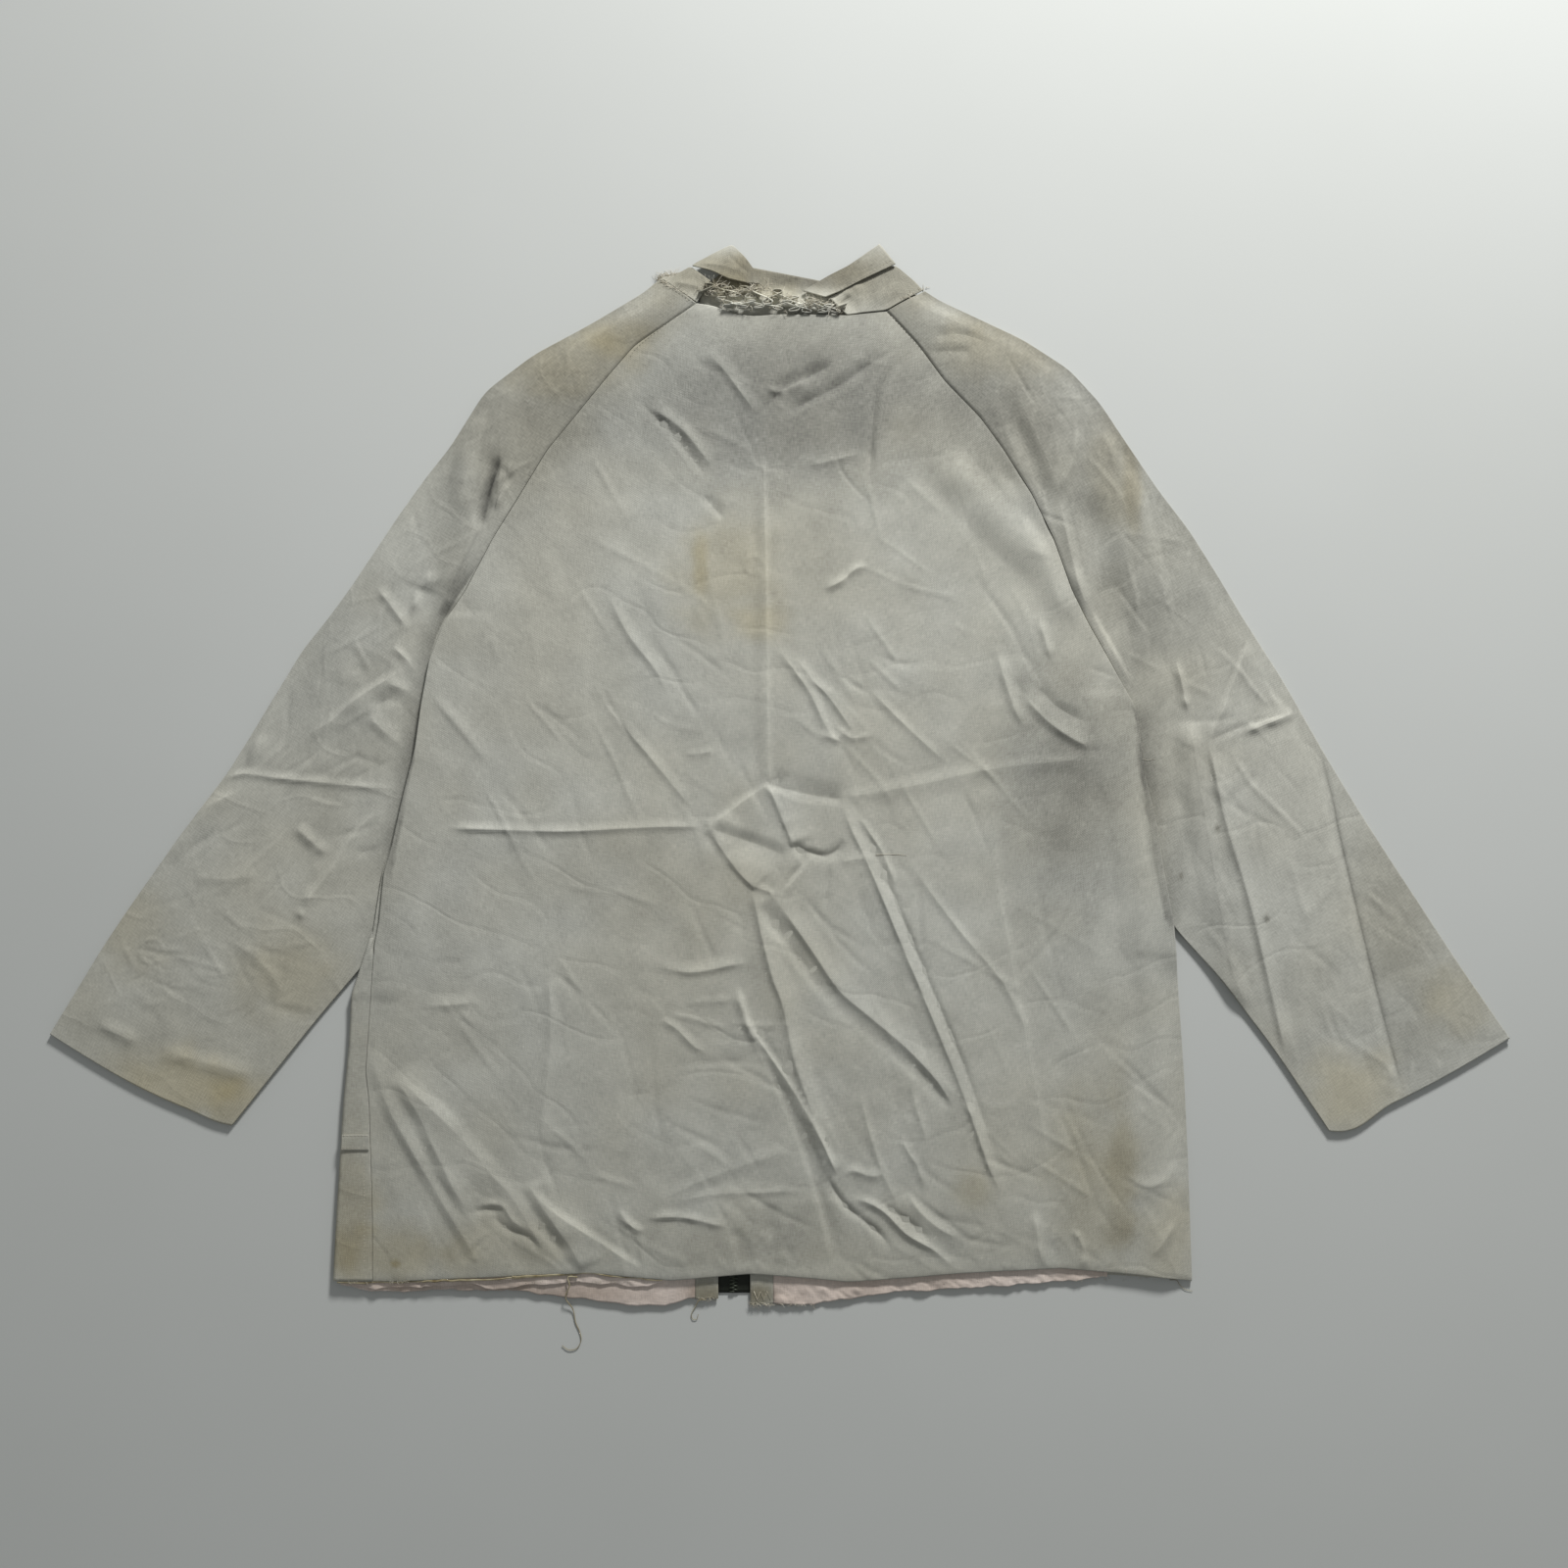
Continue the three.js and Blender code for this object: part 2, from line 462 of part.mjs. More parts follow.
function sleeveBack(side) {
  const sleeve = sleeveSide(side);
  const columns = 9;
  const plan = sleevePlan(side, sleeve);
  const width = (v) => {
    const s = sectionAt(sleeve.sections, v);
    return Math.hypot(s.ox - s.ix, s.oy - s.iy);
  };
  // The first two columns stand at both ends of the strip beside the seam.
  const spread = (v, c) => {
    const { reach } = sectionAt(sleeve.sections, v);
    const step = 5;
    if (c === 0) return 0;
    const start = (reach + step * Math.min(1, c - 1)) / width(v);
    return c < 2 ? start : lerp(start, 1, (c - 2) / (columns - 2));
  };
  return sheet({
    rows: 2 * (sleeve.sections.length - 1),
    columns,
    cloth: SLEEVE_CLOTH,
    at: (c) => c,
    plan: (v, c) => plan(v, spread(v, c)),
    top: (x, y, v, c) => {
      const u = spread(v, c);
      const section = sectionAt(sleeve.sections, v);
      const fromSeam = u * width(v);
      const fromFree = (1 - u) * width(v);
      const slope = lerp(60, 4, ramp(sleeve.pleat.from, sleeve.pleat.to, y));
      const high = ramp(sleeve.dive.to, sleeve.dive.from, section.iy)
        * ramp(section.reach + slope, section.reach, fromSeam);
      const outside = side * (x - sleeve.edge(y));
      const clear = Math.max(ramp(sleeve.dive.from, sleeve.dive.from + 16, y), ramp(3, 18, outside));
      const free = ramp(0, 14, fromFree) * ramp(0, 0.04, 1 - v);
      const puff = SLEEVE_PUFF * Math.sin(Math.PI * Math.min(1, u * 1.02)) * free;
      const folds = foldsAt(sleeve.folds, x, y) * (0.35 + 0.65 * free);
      const raised = high * (BACK_FLOOR - SLEEVE_BACK_FLOOR + CLOTH - SLEEVE_CLOTH);
      return SLEEVE_BACK_FLOOR + SLEEVE_CLOTH + Math.max(0, raised + clear * (puff + folds));
    },
  });
}

function sleeveFront(side) {
  const sleeve = sleeveSide(side);
  return sheet({
    rows: sleeve.sections.length - 1,
    columns: 3,
    cloth: SLEEVE_CLOTH,
    plan: sleevePlan(side, sleeve),
    top: () => SLEEVE_CLOTH,
  });
}

// A strip of cloth that shows at the hem, between the panels.
function hemStrip({ from, to, columns, hem, floor, cloth = LINING_CLOTH }) {
  return sheet({
    rows: 2,
    columns,
    cloth,
    plan: (v, u) => {
      const x = lerp(from, to, u);
      return [x, lerp(HEM_HIDDEN_TOP, hem(x), v)];
    },
    top: () => floor + cloth,
  });
}

// One half of the zip: a flat tape with a raised half of the chain along its inner edge.
function zipHalf(from, to, chain) {
  const tape = 1.0;
  const chainHeight = 2.2;
  const chainWidth = 3.4;
  return sheet({
    rows: 6,
    columns: 3,
    flat: true,
    at: (c) => c,
    plan: (v, c) => {
      const step = [0, to - from - chainWidth, to - from - chainWidth + 0.6, to - from][c];
      const x = chain === 'right' ? from + step : to - step;
      return [x, lerp(frontNeck(x) - 1, -363, v)];
    },
    top: (x, y, v, c) => (c < 2 ? tape : chainHeight),
  });
}

// A patch between a low and a high edge, from a table of sections. lz and hz are the heights
// of its underside at the two edges.
function patch(sections, { rows = 3, perSection = 2, cloth = CLOTH, wave = () => 0 }) {
  return sheet({
    rows,
    columns: (sections.length - 1) * perSection,
    cloth,
    plan: (v, u) => {
      const s = sectionAt(sections, u);
      return [lerp(s.hx, s.lx, v), lerp(s.hy, s.ly, v)];
    },
    top: (x, y, v, u) => {
      const s = sectionAt(sections, u);
      return lerp(s.hz, s.lz, v) + cloth + wave(x, y);
    },
  });
}

const COLLAR_LEFT = [
  { lx: -86, ly: 380.6, lz: 3.0, hx: -88, hy: 382, hz: 2.2 },
  { lx: -74, ly: 372, lz: 3.8, hx: -73, hy: 385.4, hz: 2.2 },
  { lx: -66, ly: 366.4, lz: 4.4, hx: -65.5, hy: 389.6, hz: 2.4 },
  { lx: -60.8, ly: 363, lz: 4.4, hx: -51, hy: 379, hz: 3.2 },
];
const COLLAR_LEFT_END = [
  { lx: -64, ly: 390, lz: 3.6, hx: -61.5, hy: 392, hz: 3.2 },
  { lx: -50, ly: 386, lz: 5.2, hx: -46, hy: 400.5, hz: 2.4 },
  { lx: -38, ly: 380, lz: 5.4, hx: -35, hy: 406, hz: 1.8 },
  { lx: -25, ly: 377.6, lz: 3.6, hx: -25, hy: 396, hz: 1.8 },
  { lx: -15, ly: 377.4, lz: 2.2, hx: -14, hy: 380.5, hz: 1.8 },
];
const COLLAR_FRONT = [
  { lx: -57, ly: 337.2, lz: 0, hx: -59, hy: 373, hz: 0 },
  { lx: -30, ly: 330, lz: 0, hx: -34, hy: 392, hz: 0 },
  { lx: 0, ly: 331.4, lz: 0, hx: 0, hy: 385.4, hz: 0 },
  { lx: 28, ly: 333.8, lz: 0, hx: 28, hy: 380, hz: 0 },
  { lx: 57, ly: 339.6, lz: 0, hx: 60, hy: 373, hz: 0 },
];
const COLLAR_RIGHT = [
  { lx: 49, ly: 354, lz: 4.4, hx: 36, hy: 366.5, hz: 2.6 },
  { lx: 62, ly: 355.6, lz: 4.4, hx: 52, hy: 376, hz: 2.2 },
  { lx: 77.5, ly: 357, lz: 4.4, hx: 67, hy: 384, hz: 2.0 },
  { lx: 92, ly: 365.2, lz: 4.2, hx: 84, hy: 391, hz: 2.0 },
  { lx: 104.6, ly: 372, lz: 3.2, hx: 99, hy: 378.5, hz: 2.0 },
];
const CHIN_STRAP = [
  { lx: 33, ly: 366.8, lz: 4.4, hx: 17, hy: 371.6, hz: 2.4 },
  { lx: 44, ly: 371, lz: 4.4, hx: 36, hy: 383, hz: 2.4 },
  { lx: 60, ly: 379.4, lz: 4.2, hx: 50, hy: 390, hz: 2.4 },
  { lx: 84.6, ly: 391, lz: 4.0, hx: 73, hy: 406, hz: 2.4 },
];
const RUFFLE_UPPER = [
  { lx: -58, ly: 366, lz: 7.2, hx: -54, hy: 375, hz: 6.6 },
  { lx: -44, ly: 366, lz: 4.6, hx: -40, hy: 376, hz: 4.0 },
  { lx: -24, ly: 364, lz: 2.8, hx: -24, hy: 374, hz: 2.6 },
  { lx: -2, ly: 361, lz: 2.8, hx: -6, hy: 371, hz: 2.4 },
  { lx: 16, ly: 358.6, lz: 2.8, hx: 13, hy: 368, hz: 2.4 },
  { lx: 33, ly: 357, lz: 2.8, hx: 30, hy: 364.8, hz: 2.4 },
];
const RUFFLE_LOWER = [
  { lx: -45.4, ly: 360.4, lz: 6.6, hx: -44, hy: 367, hz: 6.8 },
  { lx: -34, ly: 356.4, lz: 6.0, hx: -31, hy: 365, hz: 6.0 },
  { lx: -8, ly: 356.4, lz: 5.2, hx: -8, hy: 364.6, hz: 5.2 },
  { lx: 18, ly: 355.6, lz: 5.2, hx: 18, hy: 362, hz: 5.2 },
  { lx: 44, ly: 354.8, lz: 6.6, hx: 38, hy: 361.6, hz: 5.8 },
];
const SIDE_TAB = [
  { lx: -320.5, ly: -257, lz: 6.2, hx: -320, hy: -246, hz: 6.2 },
  { lx: -300.6, ly: -257, lz: 6.2, hx: -300.6, hy: -246, hz: 6.2 },
];
const RUFFLE_WAVES = { length: 9, height: 0.6 };
const ruffleWave = (x, y) => RUFFLE_WAVES.height
  * Math.sin((x + 0.6 * y) * ((2 * Math.PI) / RUFFLE_WAVES.length));

// A thread of four sides along a path of [x, y, z] points.
function thread(path, width) {
  const curve = new THREE.CatmullRomCurve3(path.map((p) => new THREE.Vector3(...p)));
  const steps = Math.ceil(path.length * 1.4);
  const points = [];
  const index = [];
  for (let i = 0; i <= steps; i += 1) {
    const p = curve.getPoint(i / steps);
    const along = curve.getTangent(i / steps);
    const flat = new THREE.Vector3(-along.y, along.x, 0).normalize().multiplyScalar(width / 2);
    const rise = new THREE.Vector3(0, 0, width / 2);
    for (const [a, b] of [[1, 1], [-1, 1], [-1, -1], [1, -1]]) {
      const corner = p.clone().addScaledVector(flat, a).addScaledVector(rise, b);
      points.push(corner.toArray());
    }
  }
  const quad = (a, b, c, d) => index.push(a, b, c, a, c, d);
  for (let i = 0; i < steps; i += 1) {
    for (let k = 0; k < 4; k += 1) {
      const next = (k + 1) % 4;
      quad(4 * i + k, 4 * i + next, 4 * i + 4 + next, 4 * i + 4 + k);
    }
  }
  quad(3, 2, 1, 0);
  quad(4 * steps, 4 * steps + 1, 4 * steps + 2, 4 * steps + 3);
  return outward(points, index);
}

function asManifold(geometry) {
  const bare = geometry.clone();
  bare.deleteAttribute('normal');
  bare.deleteAttribute('uv');
  const merged = mergeVertices(bare, 1e-4);
  return new wasm.Manifold(new wasm.Mesh({
    numProp: 3,
    vertProperties: new Float32Array(merged.getAttribute('position').array),
    triVerts: new Uint32Array(merged.getIndex().array),
  }));
}

function joined(geometries) {
  let solid = asManifold(geometries[0]);
  for (const geometry of geometries.slice(1)) {
    solid = solid.add(asManifold(geometry));
  }
  const mesh = solid.getMesh();
  const result = new THREE.BufferGeometry();
  result.setAttribute('position', new THREE.BufferAttribute(mesh.vertProperties, 3));
  result.setIndex(new THREE.BufferAttribute(mesh.triVerts, 1));
  return result;
}

// The torn edge of the neck: strands that curl out of a narrow strip.
function neckFray() {
  const strip = [[-50, 371.2, 8.6], [-34, 371.4, 6.4], [-14, 370, 5.8], [4, 366.5, 5.6]];
  const curve = new THREE.CatmullRomCurve3(strip.map((p) => new THREE.Vector3(...p)));
  const strands = 16;
  const parts = [thread(strip, 1.4)];
  for (let i = 0; i < strands; i += 1) {
    const root = curve.getPoint((i + 0.5) / strands);
    const swing = 2.6 * Math.sin(i * 2.3);
    const long = 3.4 + 1.2 * Math.sin(i * 1.7);
    parts.push(thread([
      [root.x, root.y, root.z],
      [root.x + swing * 0.5, root.y + long * 0.6, root.z + 0.7],
      [root.x + swing, root.y + long, root.z + 0.2],
    ], 0.6));
  }
  return joined(parts);
}

// A loose thread: the narrow strip that holds it at the hem and the path of its strand.
function looseThread(strip, path, width) {
  return joined([thread(strip, 1.0), thread(path, width)]);
}

const CLOTH_COLOUR = { color: 0x9d9c92, roughness: 0.82 };
const LINING_COLOUR = { color: 0x9c8f7f, roughness: 0.7 };
const ZIP_COLOUR = { color: 0x1a1f19, roughness: 0.7 };
const THREAD_COLOUR = { color: 0x8b836a, roughness: 0.9 };

const jacket = new THREE.Group();

function piece(name, geometry, { color, roughness }) {
  const material = new THREE.MeshStandardMaterial({ color, roughness, metalness: 0 });
  const mesh = new THREE.Mesh(geometry, material);
  mesh.name = name;
  jacket.add(mesh);
}

piece('back_panel', backPanel(), CLOTH_COLOUR);
piece('front_left', leftFront(), CLOTH_COLOUR);
piece('front_right', rightFront(), CLOTH_COLOUR);
piece('sleeve_left_back', sleeveBack(-1), CLOTH_COLOUR);
piece('sleeve_left_front', sleeveFront(-1), CLOTH_COLOUR);
piece('sleeve_right_back', sleeveBack(1), CLOTH_COLOUR);
piece('sleeve_right_front', sleeveFront(1), CLOTH_COLOUR);

const frontLiningHem = (x) => frontHem(x) - 1.2;
const backLiningHem = (x) => valueAt(BACK_LINING_HEM, 'x', 'y', x);
const frontLiningFloor = CLOTH + SEAM_GAP;
const backLiningFloor = frontLiningFloor + LINING_CLOTH + SEAM_GAP;
piece('lining_front_left', hemStrip({
  from: -322, to: -62.3, columns: 14, hem: frontLiningHem, floor: frontLiningFloor,
}), LINING_COLOUR);
piece('lining_front_right', hemStrip({
  from: -4.7, to: 240, columns: 12, hem: frontLiningHem, floor: frontLiningFloor,
}), LINING_COLOUR);
piece('lining_back', hemStrip({
  from: -322, to: -83, columns: 16, hem: backLiningHem, floor: backLiningFloor,
}), LINING_COLOUR);
piece('facing_left', hemStrip({
  from: -62, to: ZIP_LEFT - SEAM_GAP, columns: 2, hem: () => -367, floor: frontLiningFloor,
}), CLOTH_COLOUR);
piece('facing_right', hemStrip({
  from: ZIP_RIGHT + SEAM_GAP, to: -5, columns: 2, hem: () => -371, floor: frontLiningFloor,
}), CLOTH_COLOUR);
piece('zip_half_left', zipHalf(ZIP_LEFT, ZIP_MIDDLE - SEAM_GAP / 2, 'right'), ZIP_COLOUR);
piece('zip_half_right', zipHalf(ZIP_MIDDLE + SEAM_GAP / 2, ZIP_RIGHT, 'left'), ZIP_COLOUR);

piece('collar_left', patch(COLLAR_LEFT, {}), CLOTH_COLOUR);
piece('collar_left_end', patch(COLLAR_LEFT_END, {}), CLOTH_COLOUR);
piece('collar_front', patch(COLLAR_FRONT, {}), CLOTH_COLOUR);
piece('collar_right', patch(COLLAR_RIGHT, {}), CLOTH_COLOUR);
piece('chin_strap', patch(CHIN_STRAP, { cloth: 1.8 }), CLOTH_COLOUR);
piece('neck_ruffle_upper', patch(RUFFLE_UPPER, {
  rows: 1, perSection: 7, cloth: 1.2, wave: ruffleWave,
}), CLOTH_COLOUR);
piece('neck_ruffle_lower', patch(RUFFLE_LOWER, {
  rows: 1, perSection: 9, cloth: 1.2, wave: ruffleWave,
}), CLOTH_COLOUR);
piece('neck_fray', neckFray(), THREAD_COLOUR);
piece('side_tab', patch(SIDE_TAB, { rows: 1, perSection: 4, cloth: 1.0 }), CLOTH_COLOUR);

piece('hem_thread_long', looseThread(
  [[-164, -350.6, 4.9], [-156, -350.4, 4.9], [-148, -350.4, 4.9]],
  [
    [-155, -350.4, 4.9], [-154, -357, 5.1], [-157, -366, 3.9], [-152, -375, 1.4], [-150, -385, 0.9],
    [-147, -392, 0.9], [-146, -398, 0.9], [-149, -404, 0.9], [-155, -405.5, 0.9], [-160, -402, 0.9],
  ],
  1.0,
), THREAD_COLOUR);
piece('hem_thread_loop', looseThread(
  [[-61.5, -367.9, 2.1], [-58, -367.9, 2.1], [-54, -367.9, 2.1]],
  [
    [-59, -367.9, 2.1], [-62, -373, 1.3], [-65, -379, 0.9], [-64, -382.5, 0.9],
    [-61, -382.5, 0.9], [-60, -379, 0.9],
  ],
  0.9,
), THREAD_COLOUR);
piece('hem_thread_right', looseThread(
  [[286, -353.4, 1.2], [291, -353.7, 1.2], [297, -354.1, 1.2]],
  [[291, -353.7, 1.2], [294, -358, 0.9], [298, -361, 0.8], [303, -362, 0.8]],
  0.9,
), THREAD_COLOUR);

export default jacket;
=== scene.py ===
"""A light zipped jacket with a chin strap, laid face down on a floor.

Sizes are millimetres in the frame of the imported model, seen from above: +Y points to the collar
and +X to the right of the picture. They become metres where a mesh is made.
"""
import math

import bpy
import numpy as np

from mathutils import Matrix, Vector
from mathutils.bvhtree import BVHTree


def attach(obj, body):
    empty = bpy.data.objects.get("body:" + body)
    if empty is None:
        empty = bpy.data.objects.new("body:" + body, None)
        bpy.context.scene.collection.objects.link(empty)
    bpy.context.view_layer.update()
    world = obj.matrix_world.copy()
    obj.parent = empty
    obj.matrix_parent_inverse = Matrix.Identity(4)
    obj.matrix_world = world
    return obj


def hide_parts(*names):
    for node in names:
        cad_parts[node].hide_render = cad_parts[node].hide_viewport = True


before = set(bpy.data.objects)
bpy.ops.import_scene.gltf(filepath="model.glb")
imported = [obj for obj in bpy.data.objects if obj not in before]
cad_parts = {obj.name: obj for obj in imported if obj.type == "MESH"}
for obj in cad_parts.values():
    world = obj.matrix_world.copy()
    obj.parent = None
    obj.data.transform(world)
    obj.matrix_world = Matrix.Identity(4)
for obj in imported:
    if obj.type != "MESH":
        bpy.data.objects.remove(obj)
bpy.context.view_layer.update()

MM = 0.001
CLOTH = 1.5  # wall of the solids of the body
SLEEVE_CLOTH = 1.4
LINING_CLOTH = 1.0
SEAM_GAP = 0.3
BACK_FLOOR = 4.4  # underside of the back panel where it lies flat
BACK_CROWN = 0.8
SLEEVE_BACK_FLOOR = SLEEVE_CLOTH + SEAM_GAP
SLEEVE_PUFF = 2.4  # how much air is in a sleeve
SHOWN_CLOTH = 1.1  # thickness of the sheets that are seen from above
SHOWN_STRIP = 0.8
SHOWN_TAPE = 0.95
SHOWN_RUFFLE = 0.55
RIM_BULGE = 0.12  # how far the rim of a sheet is rounded outward
TAPER = 0.55  # how much thinner a thread is at its end
CREST_PAINTED_LIGHT = 0.05  # painted light and shade: how much lighter a crest, and darker a valley, is painted for each millimetre of its height
UNDER_SLEEVE = SLEEVE_BACK_FLOOR + SLEEVE_CLOTH + SEAM_GAP
FRONT_TOP = 349.0
HEM = -354.0
HEM_SPREAD = -264.0  # below it the cloth follows the wavy line of the hem
HEM_HIDDEN_TOP = -335.0
ZIP_LEFT = -45.0
ZIP_RIGHT = -22.0
ZIP_MIDDLE = -34.0
ZIP_LOW = -363.0


def ramp(start, end, value):
    t = np.clip((value - start) / (end - start), 0, 1)
    return t * t * (3 - 2 * t)


def lerp(a, b, t):
    return a + (b - a) * t


def edge(*points, rounding=15):
    """Reads an edge that is given as (place, value) points. Its corners are rounded over a
    length of rounding, an odd number."""
    places, values = np.array(sorted(points), float).T
    fine = np.arange(places[0], places[-1] + 1, 1.0)
    window = np.hanning(rounding)
    half = rounding // 2
    raw = np.pad(np.interp(fine, places, values), half, mode="reflect", reflect_type="odd")
    smooth = np.convolve(raw, window / window.sum(), "valid")
    return lambda place: np.interp(place, fine, smooth)


# Edges of the body, as x at a height y
left_seam = edge(
    (362, -61), (349, -80), (331, -106.5), (305, -129), (279, -150), (255, -170), (222, -190),
    (190, -210), (152, -230), (128, -246), (101, -256.5), (68, -262.5), (36, -267), (0, -276),
    (-36, -284), (-54, -289.6), (-90, -293), (-108, -296.5), (-127, -298), (-163, -300.5),
    (-200, -303), (-222, -300.5), (-305, -298), (-354, -298),
)
left_fold = edge(
    (128, -246.5), (101, -257), (68, -263), (36, -267.5), (0, -276.5), (-36, -285), (-54, -291),
    (-90, -296.5), (-127, -308), (-145, -314), (-181, -316), (-222, -320), (-305, -325),
    (-354, -327.5),
)
right_edge = edge(
    (356, 78), (349, 85), (331, 101.5), (305, 120.5), (279, 146), (255, 163.5), (222, 184.5),
    (190, 200), (152, 213.5), (128, 225.5), (101, 241), (68, 259), (54, 262.5), (18, 266.5),
    (-18, 275.5), (-54, 281), (-90, 288), (-127, 291), (-145, 292.2), (-200, 296), (-264, 299),
    (-354, 302),
)
# Edges of the body, as y at a place x
back_neck = edge(
    (-61, 362), (-48, 360), (-35, 354.5), (-20, 352.5), (0, 354), (30, 353.5), (50, 353),
    (64, 354.5), (78, 356),
)
front_neck = edge(
    (-80, 349), (-58, 336), (-45, 331), (-22, 329), (28, 333), (58, 339), (84, 349),
)
back_hem = edge(
    (-328, -353.5), (-280, -353.5), (-220, -351), (-140, -347.5), (-80, -353), (-22, -348),
    (0, -349.5), (50, -354), (80, -352), (130, -348), (205, -344), (265, -349), (302, -354),
)
front_hem = edge(
    (-327, -353), (-300, -361), (-240, -359), (-200, -360), (-140, -366), (-110, -371),
    (-80, -370), (-62, -365), (-45, -365), (-22, -369.5), (25, -369.5), (50, -366), (80, -361),
    (140, -358), (200, -354), (240, -349.5), (302, -353.5),
)
back_lining_hem = edge(
    (-325, -355.5), (-300, -359), (-225, -356), (-212, -361), (-185, -356), (-145, -354.5),
    (-98, -358), (-83, -354),
)


def noise(x, y, size, seed):
    """Smooth noise from -1 to 1 whose bumps are about size across."""
    lattice = np.random.default_rng(seed).uniform(-1, 1, (64, 64))
    u, v = np.asarray(x) / size, np.asarray(y) / size
    i, j = np.floor(u).astype(int), np.floor(v).astype(int)
    fu, fv = u - i, v - j
    fu, fv = fu * fu * (3 - 2 * fu), fv * fv * (3 - 2 * fv)
    low = lerp(lattice[i % 64, j % 64], lattice[(i + 1) % 64, j % 64], fu)
    high = lerp(lattice[i % 64, (j + 1) % 64], lattice[(i + 1) % 64, (j + 1) % 64], fu)
    return lerp(low, high, fv)


def smooth_path(points, step=5.0):
    """A smooth line through the points, as points about step apart."""
    p = np.array(points, float)
    p = np.vstack([2 * p[0] - p[1], p, 2 * p[-1] - p[-2]])
    out = []
    for a, b, c, d in zip(p, p[1:], p[2:], p[3:]):
        count = max(1, int(np.linalg.norm(c - b) / step))
        for t in np.arange(count) / count:
            out.append(
                0.5 * (2 * b + (c - a) * t + (2 * a - 5 * b + 4 * c - d) * t**2
                       + (3 * b - a - 3 * c + d) * t**3)
            )
    out.append(p[-2])
    return np.array(out)


def beside(path, x, y):
    """Signed distance from a path, positive on its left, and the share of it that lies behind."""
    best = np.full(x.shape, np.inf)
    signed = np.zeros(x.shape)
    share = np.zeros(x.shape)
    lengths = np.linalg.norm(np.diff(path, axis=0), axis=1)
    total, done = lengths.sum(), 0.0
    for (ax, ay), (bx, by), length in zip(path, path[1:], lengths):
        ux, uy = (bx - ax) / length, (by - ay) / length
        t = np.clip((x - ax) * ux + (y - ay) * uy, 0, length)
        dx, dy = x - ax - ux * t, y - ay - uy * t
        distance = np.hypot(dx, dy)
        near = distance < best
        side = np.where(ux * dy - uy * dx >= 0, 1.0, -1.0)
        best = np.where(near, distance, best)
        signed = np.where(near, side * distance, signed)
        share = np.where(near, (done + t) / total, share)
        done += length
    return signed, share


def crease(rise, left, right, *path, sharp=0.85, power=1.6, ends=0.28):
    """A crease of the cloth. A ridge has a positive rise, a valley a negative one. left and right
    are how far its two flanks reach, seen along the path, and a power of 1 makes them flat."""
    return {"rise": rise, "left": left, "right": right, "path": path, "sharp": sharp,
            "power": power, "ends": ends}


def creases_near(creases, x, y, extra=0.0):
    """For each crease that is near any of the points: which points, and where they lie."""
    for number, fold in enumerate(creases):
        path = smooth_path(fold["path"], 4.0)
        reach = max(fold["left"], fold["right"], extra)
        low, high = path.min(axis=0) - reach, path.max(axis=0) + reach
        near = (x > low[0]) & (x < high[0]) & (y > low[1]) & (y < high[1])
        if near.any():
            signed, share = beside(path, x[near], y[near])
            taper = ramp(0, fold["ends"], share) * ramp(1, 1 - fold["ends"], share)
            yield number, fold, near, signed, share, taper


def creases_at(creases, x, y):
    """The height that all the creases add at the points."""
    height = np.zeros(x.shape)
    for number, fold, near, signed, share, taper in creases_near(creases, x, y):
        wide = np.where(signed > 0, fold["left"], fold["right"])
        crest = lerp(2.0, 0.25, fold["sharp"])
        d = np.minimum(1, (np.sqrt(signed**2 + crest**2) - crest) / wide)
        steep = np.where(wide <= 6.5, 2.2, fold["power"])
        profile = lerp((1 - d * d) ** 2, (1 - d) ** steep, fold["sharp"])
        uneven = 1 + 0.35 * noise(share * 7 + number * 3.7, share * 0, 1.0, 5)
        height[near] += fold["rise"] * profile * taper * uneven
    return height


def drawn_in(creases, x, y, free):
    """Moves the points of a grid towards the main creases, so that their crests are crisp. free
    is 0 where a point has to stay."""
    reach = 4.5
    main = [fold for fold in creases if fold["sharp"] >= 0.6 and abs(fold["rise"]) >= 0.8]
    main.sort(key=lambda fold: -abs(fold["rise"]))
    free = free.copy()
    for _, fold, near, signed, share, taper in creases_near(main, x, y, reach):
        nudge = 0.01
        path = smooth_path(fold["path"], 4.0)
        ahead, _ = beside(path, x[near] + nudge, y[near])
        above, _ = beside(path, x[near], y[near] + nudge)
        nx, ny = (ahead - signed) / nudge, (above - signed) / nudge
        length = np.maximum(np.hypot(nx, ny), 1e-6)
        d = np.minimum(1, np.abs(signed) / reach)
        inside = (share > 0.001) & (share < 0.999) & (length > 0.5)
        strength = np.where(inside, np.minimum(1, 2 * taper), 0) * free[near]
        shift = np.sign(signed) * reach * (d ** (1 + 0.75 * strength) - d)
        x[near] += shift * nx / length
        y[near] += shift * ny / length
        free[near] *= 1 - strength * (1 - d)
    return x, y


def small_creases(seed, *places):
    """Fine creases all over: each place has how many, its middle, its half sizes, the mean heading
    in degrees and the mean length of its creases."""
    chance = np.random.default_rng(seed)
    creases = []
    for count, x, y, half_x, half_y, heading, long in places:
        for _ in range(count):
            start = np.array([x + chance.uniform(-1, 1) * half_x, y + chance.uniform(-1, 1) * half_y])
            turn = math.radians(heading + chance.normal(0, 26))
            path = [start]
            for _ in range(3):
                step = long * chance.uniform(0.1, 0.85)
                path.append(path[-1] + step * np.array([math.cos(turn), math.sin(turn)]))
                turn += chance.normal(0, 0.13)
            rise = chance.choice([-1, 1]) * chance.uniform(0.15, 0.55)
            flanks = chance.uniform(2.2, 5.0, 2)
            creases.append(crease(rise, flanks[0], flanks[1], *[tuple(p) for p in path],
                                  sharp=chance.uniform(0.7, 0.95), ends=0.4))
    return creases


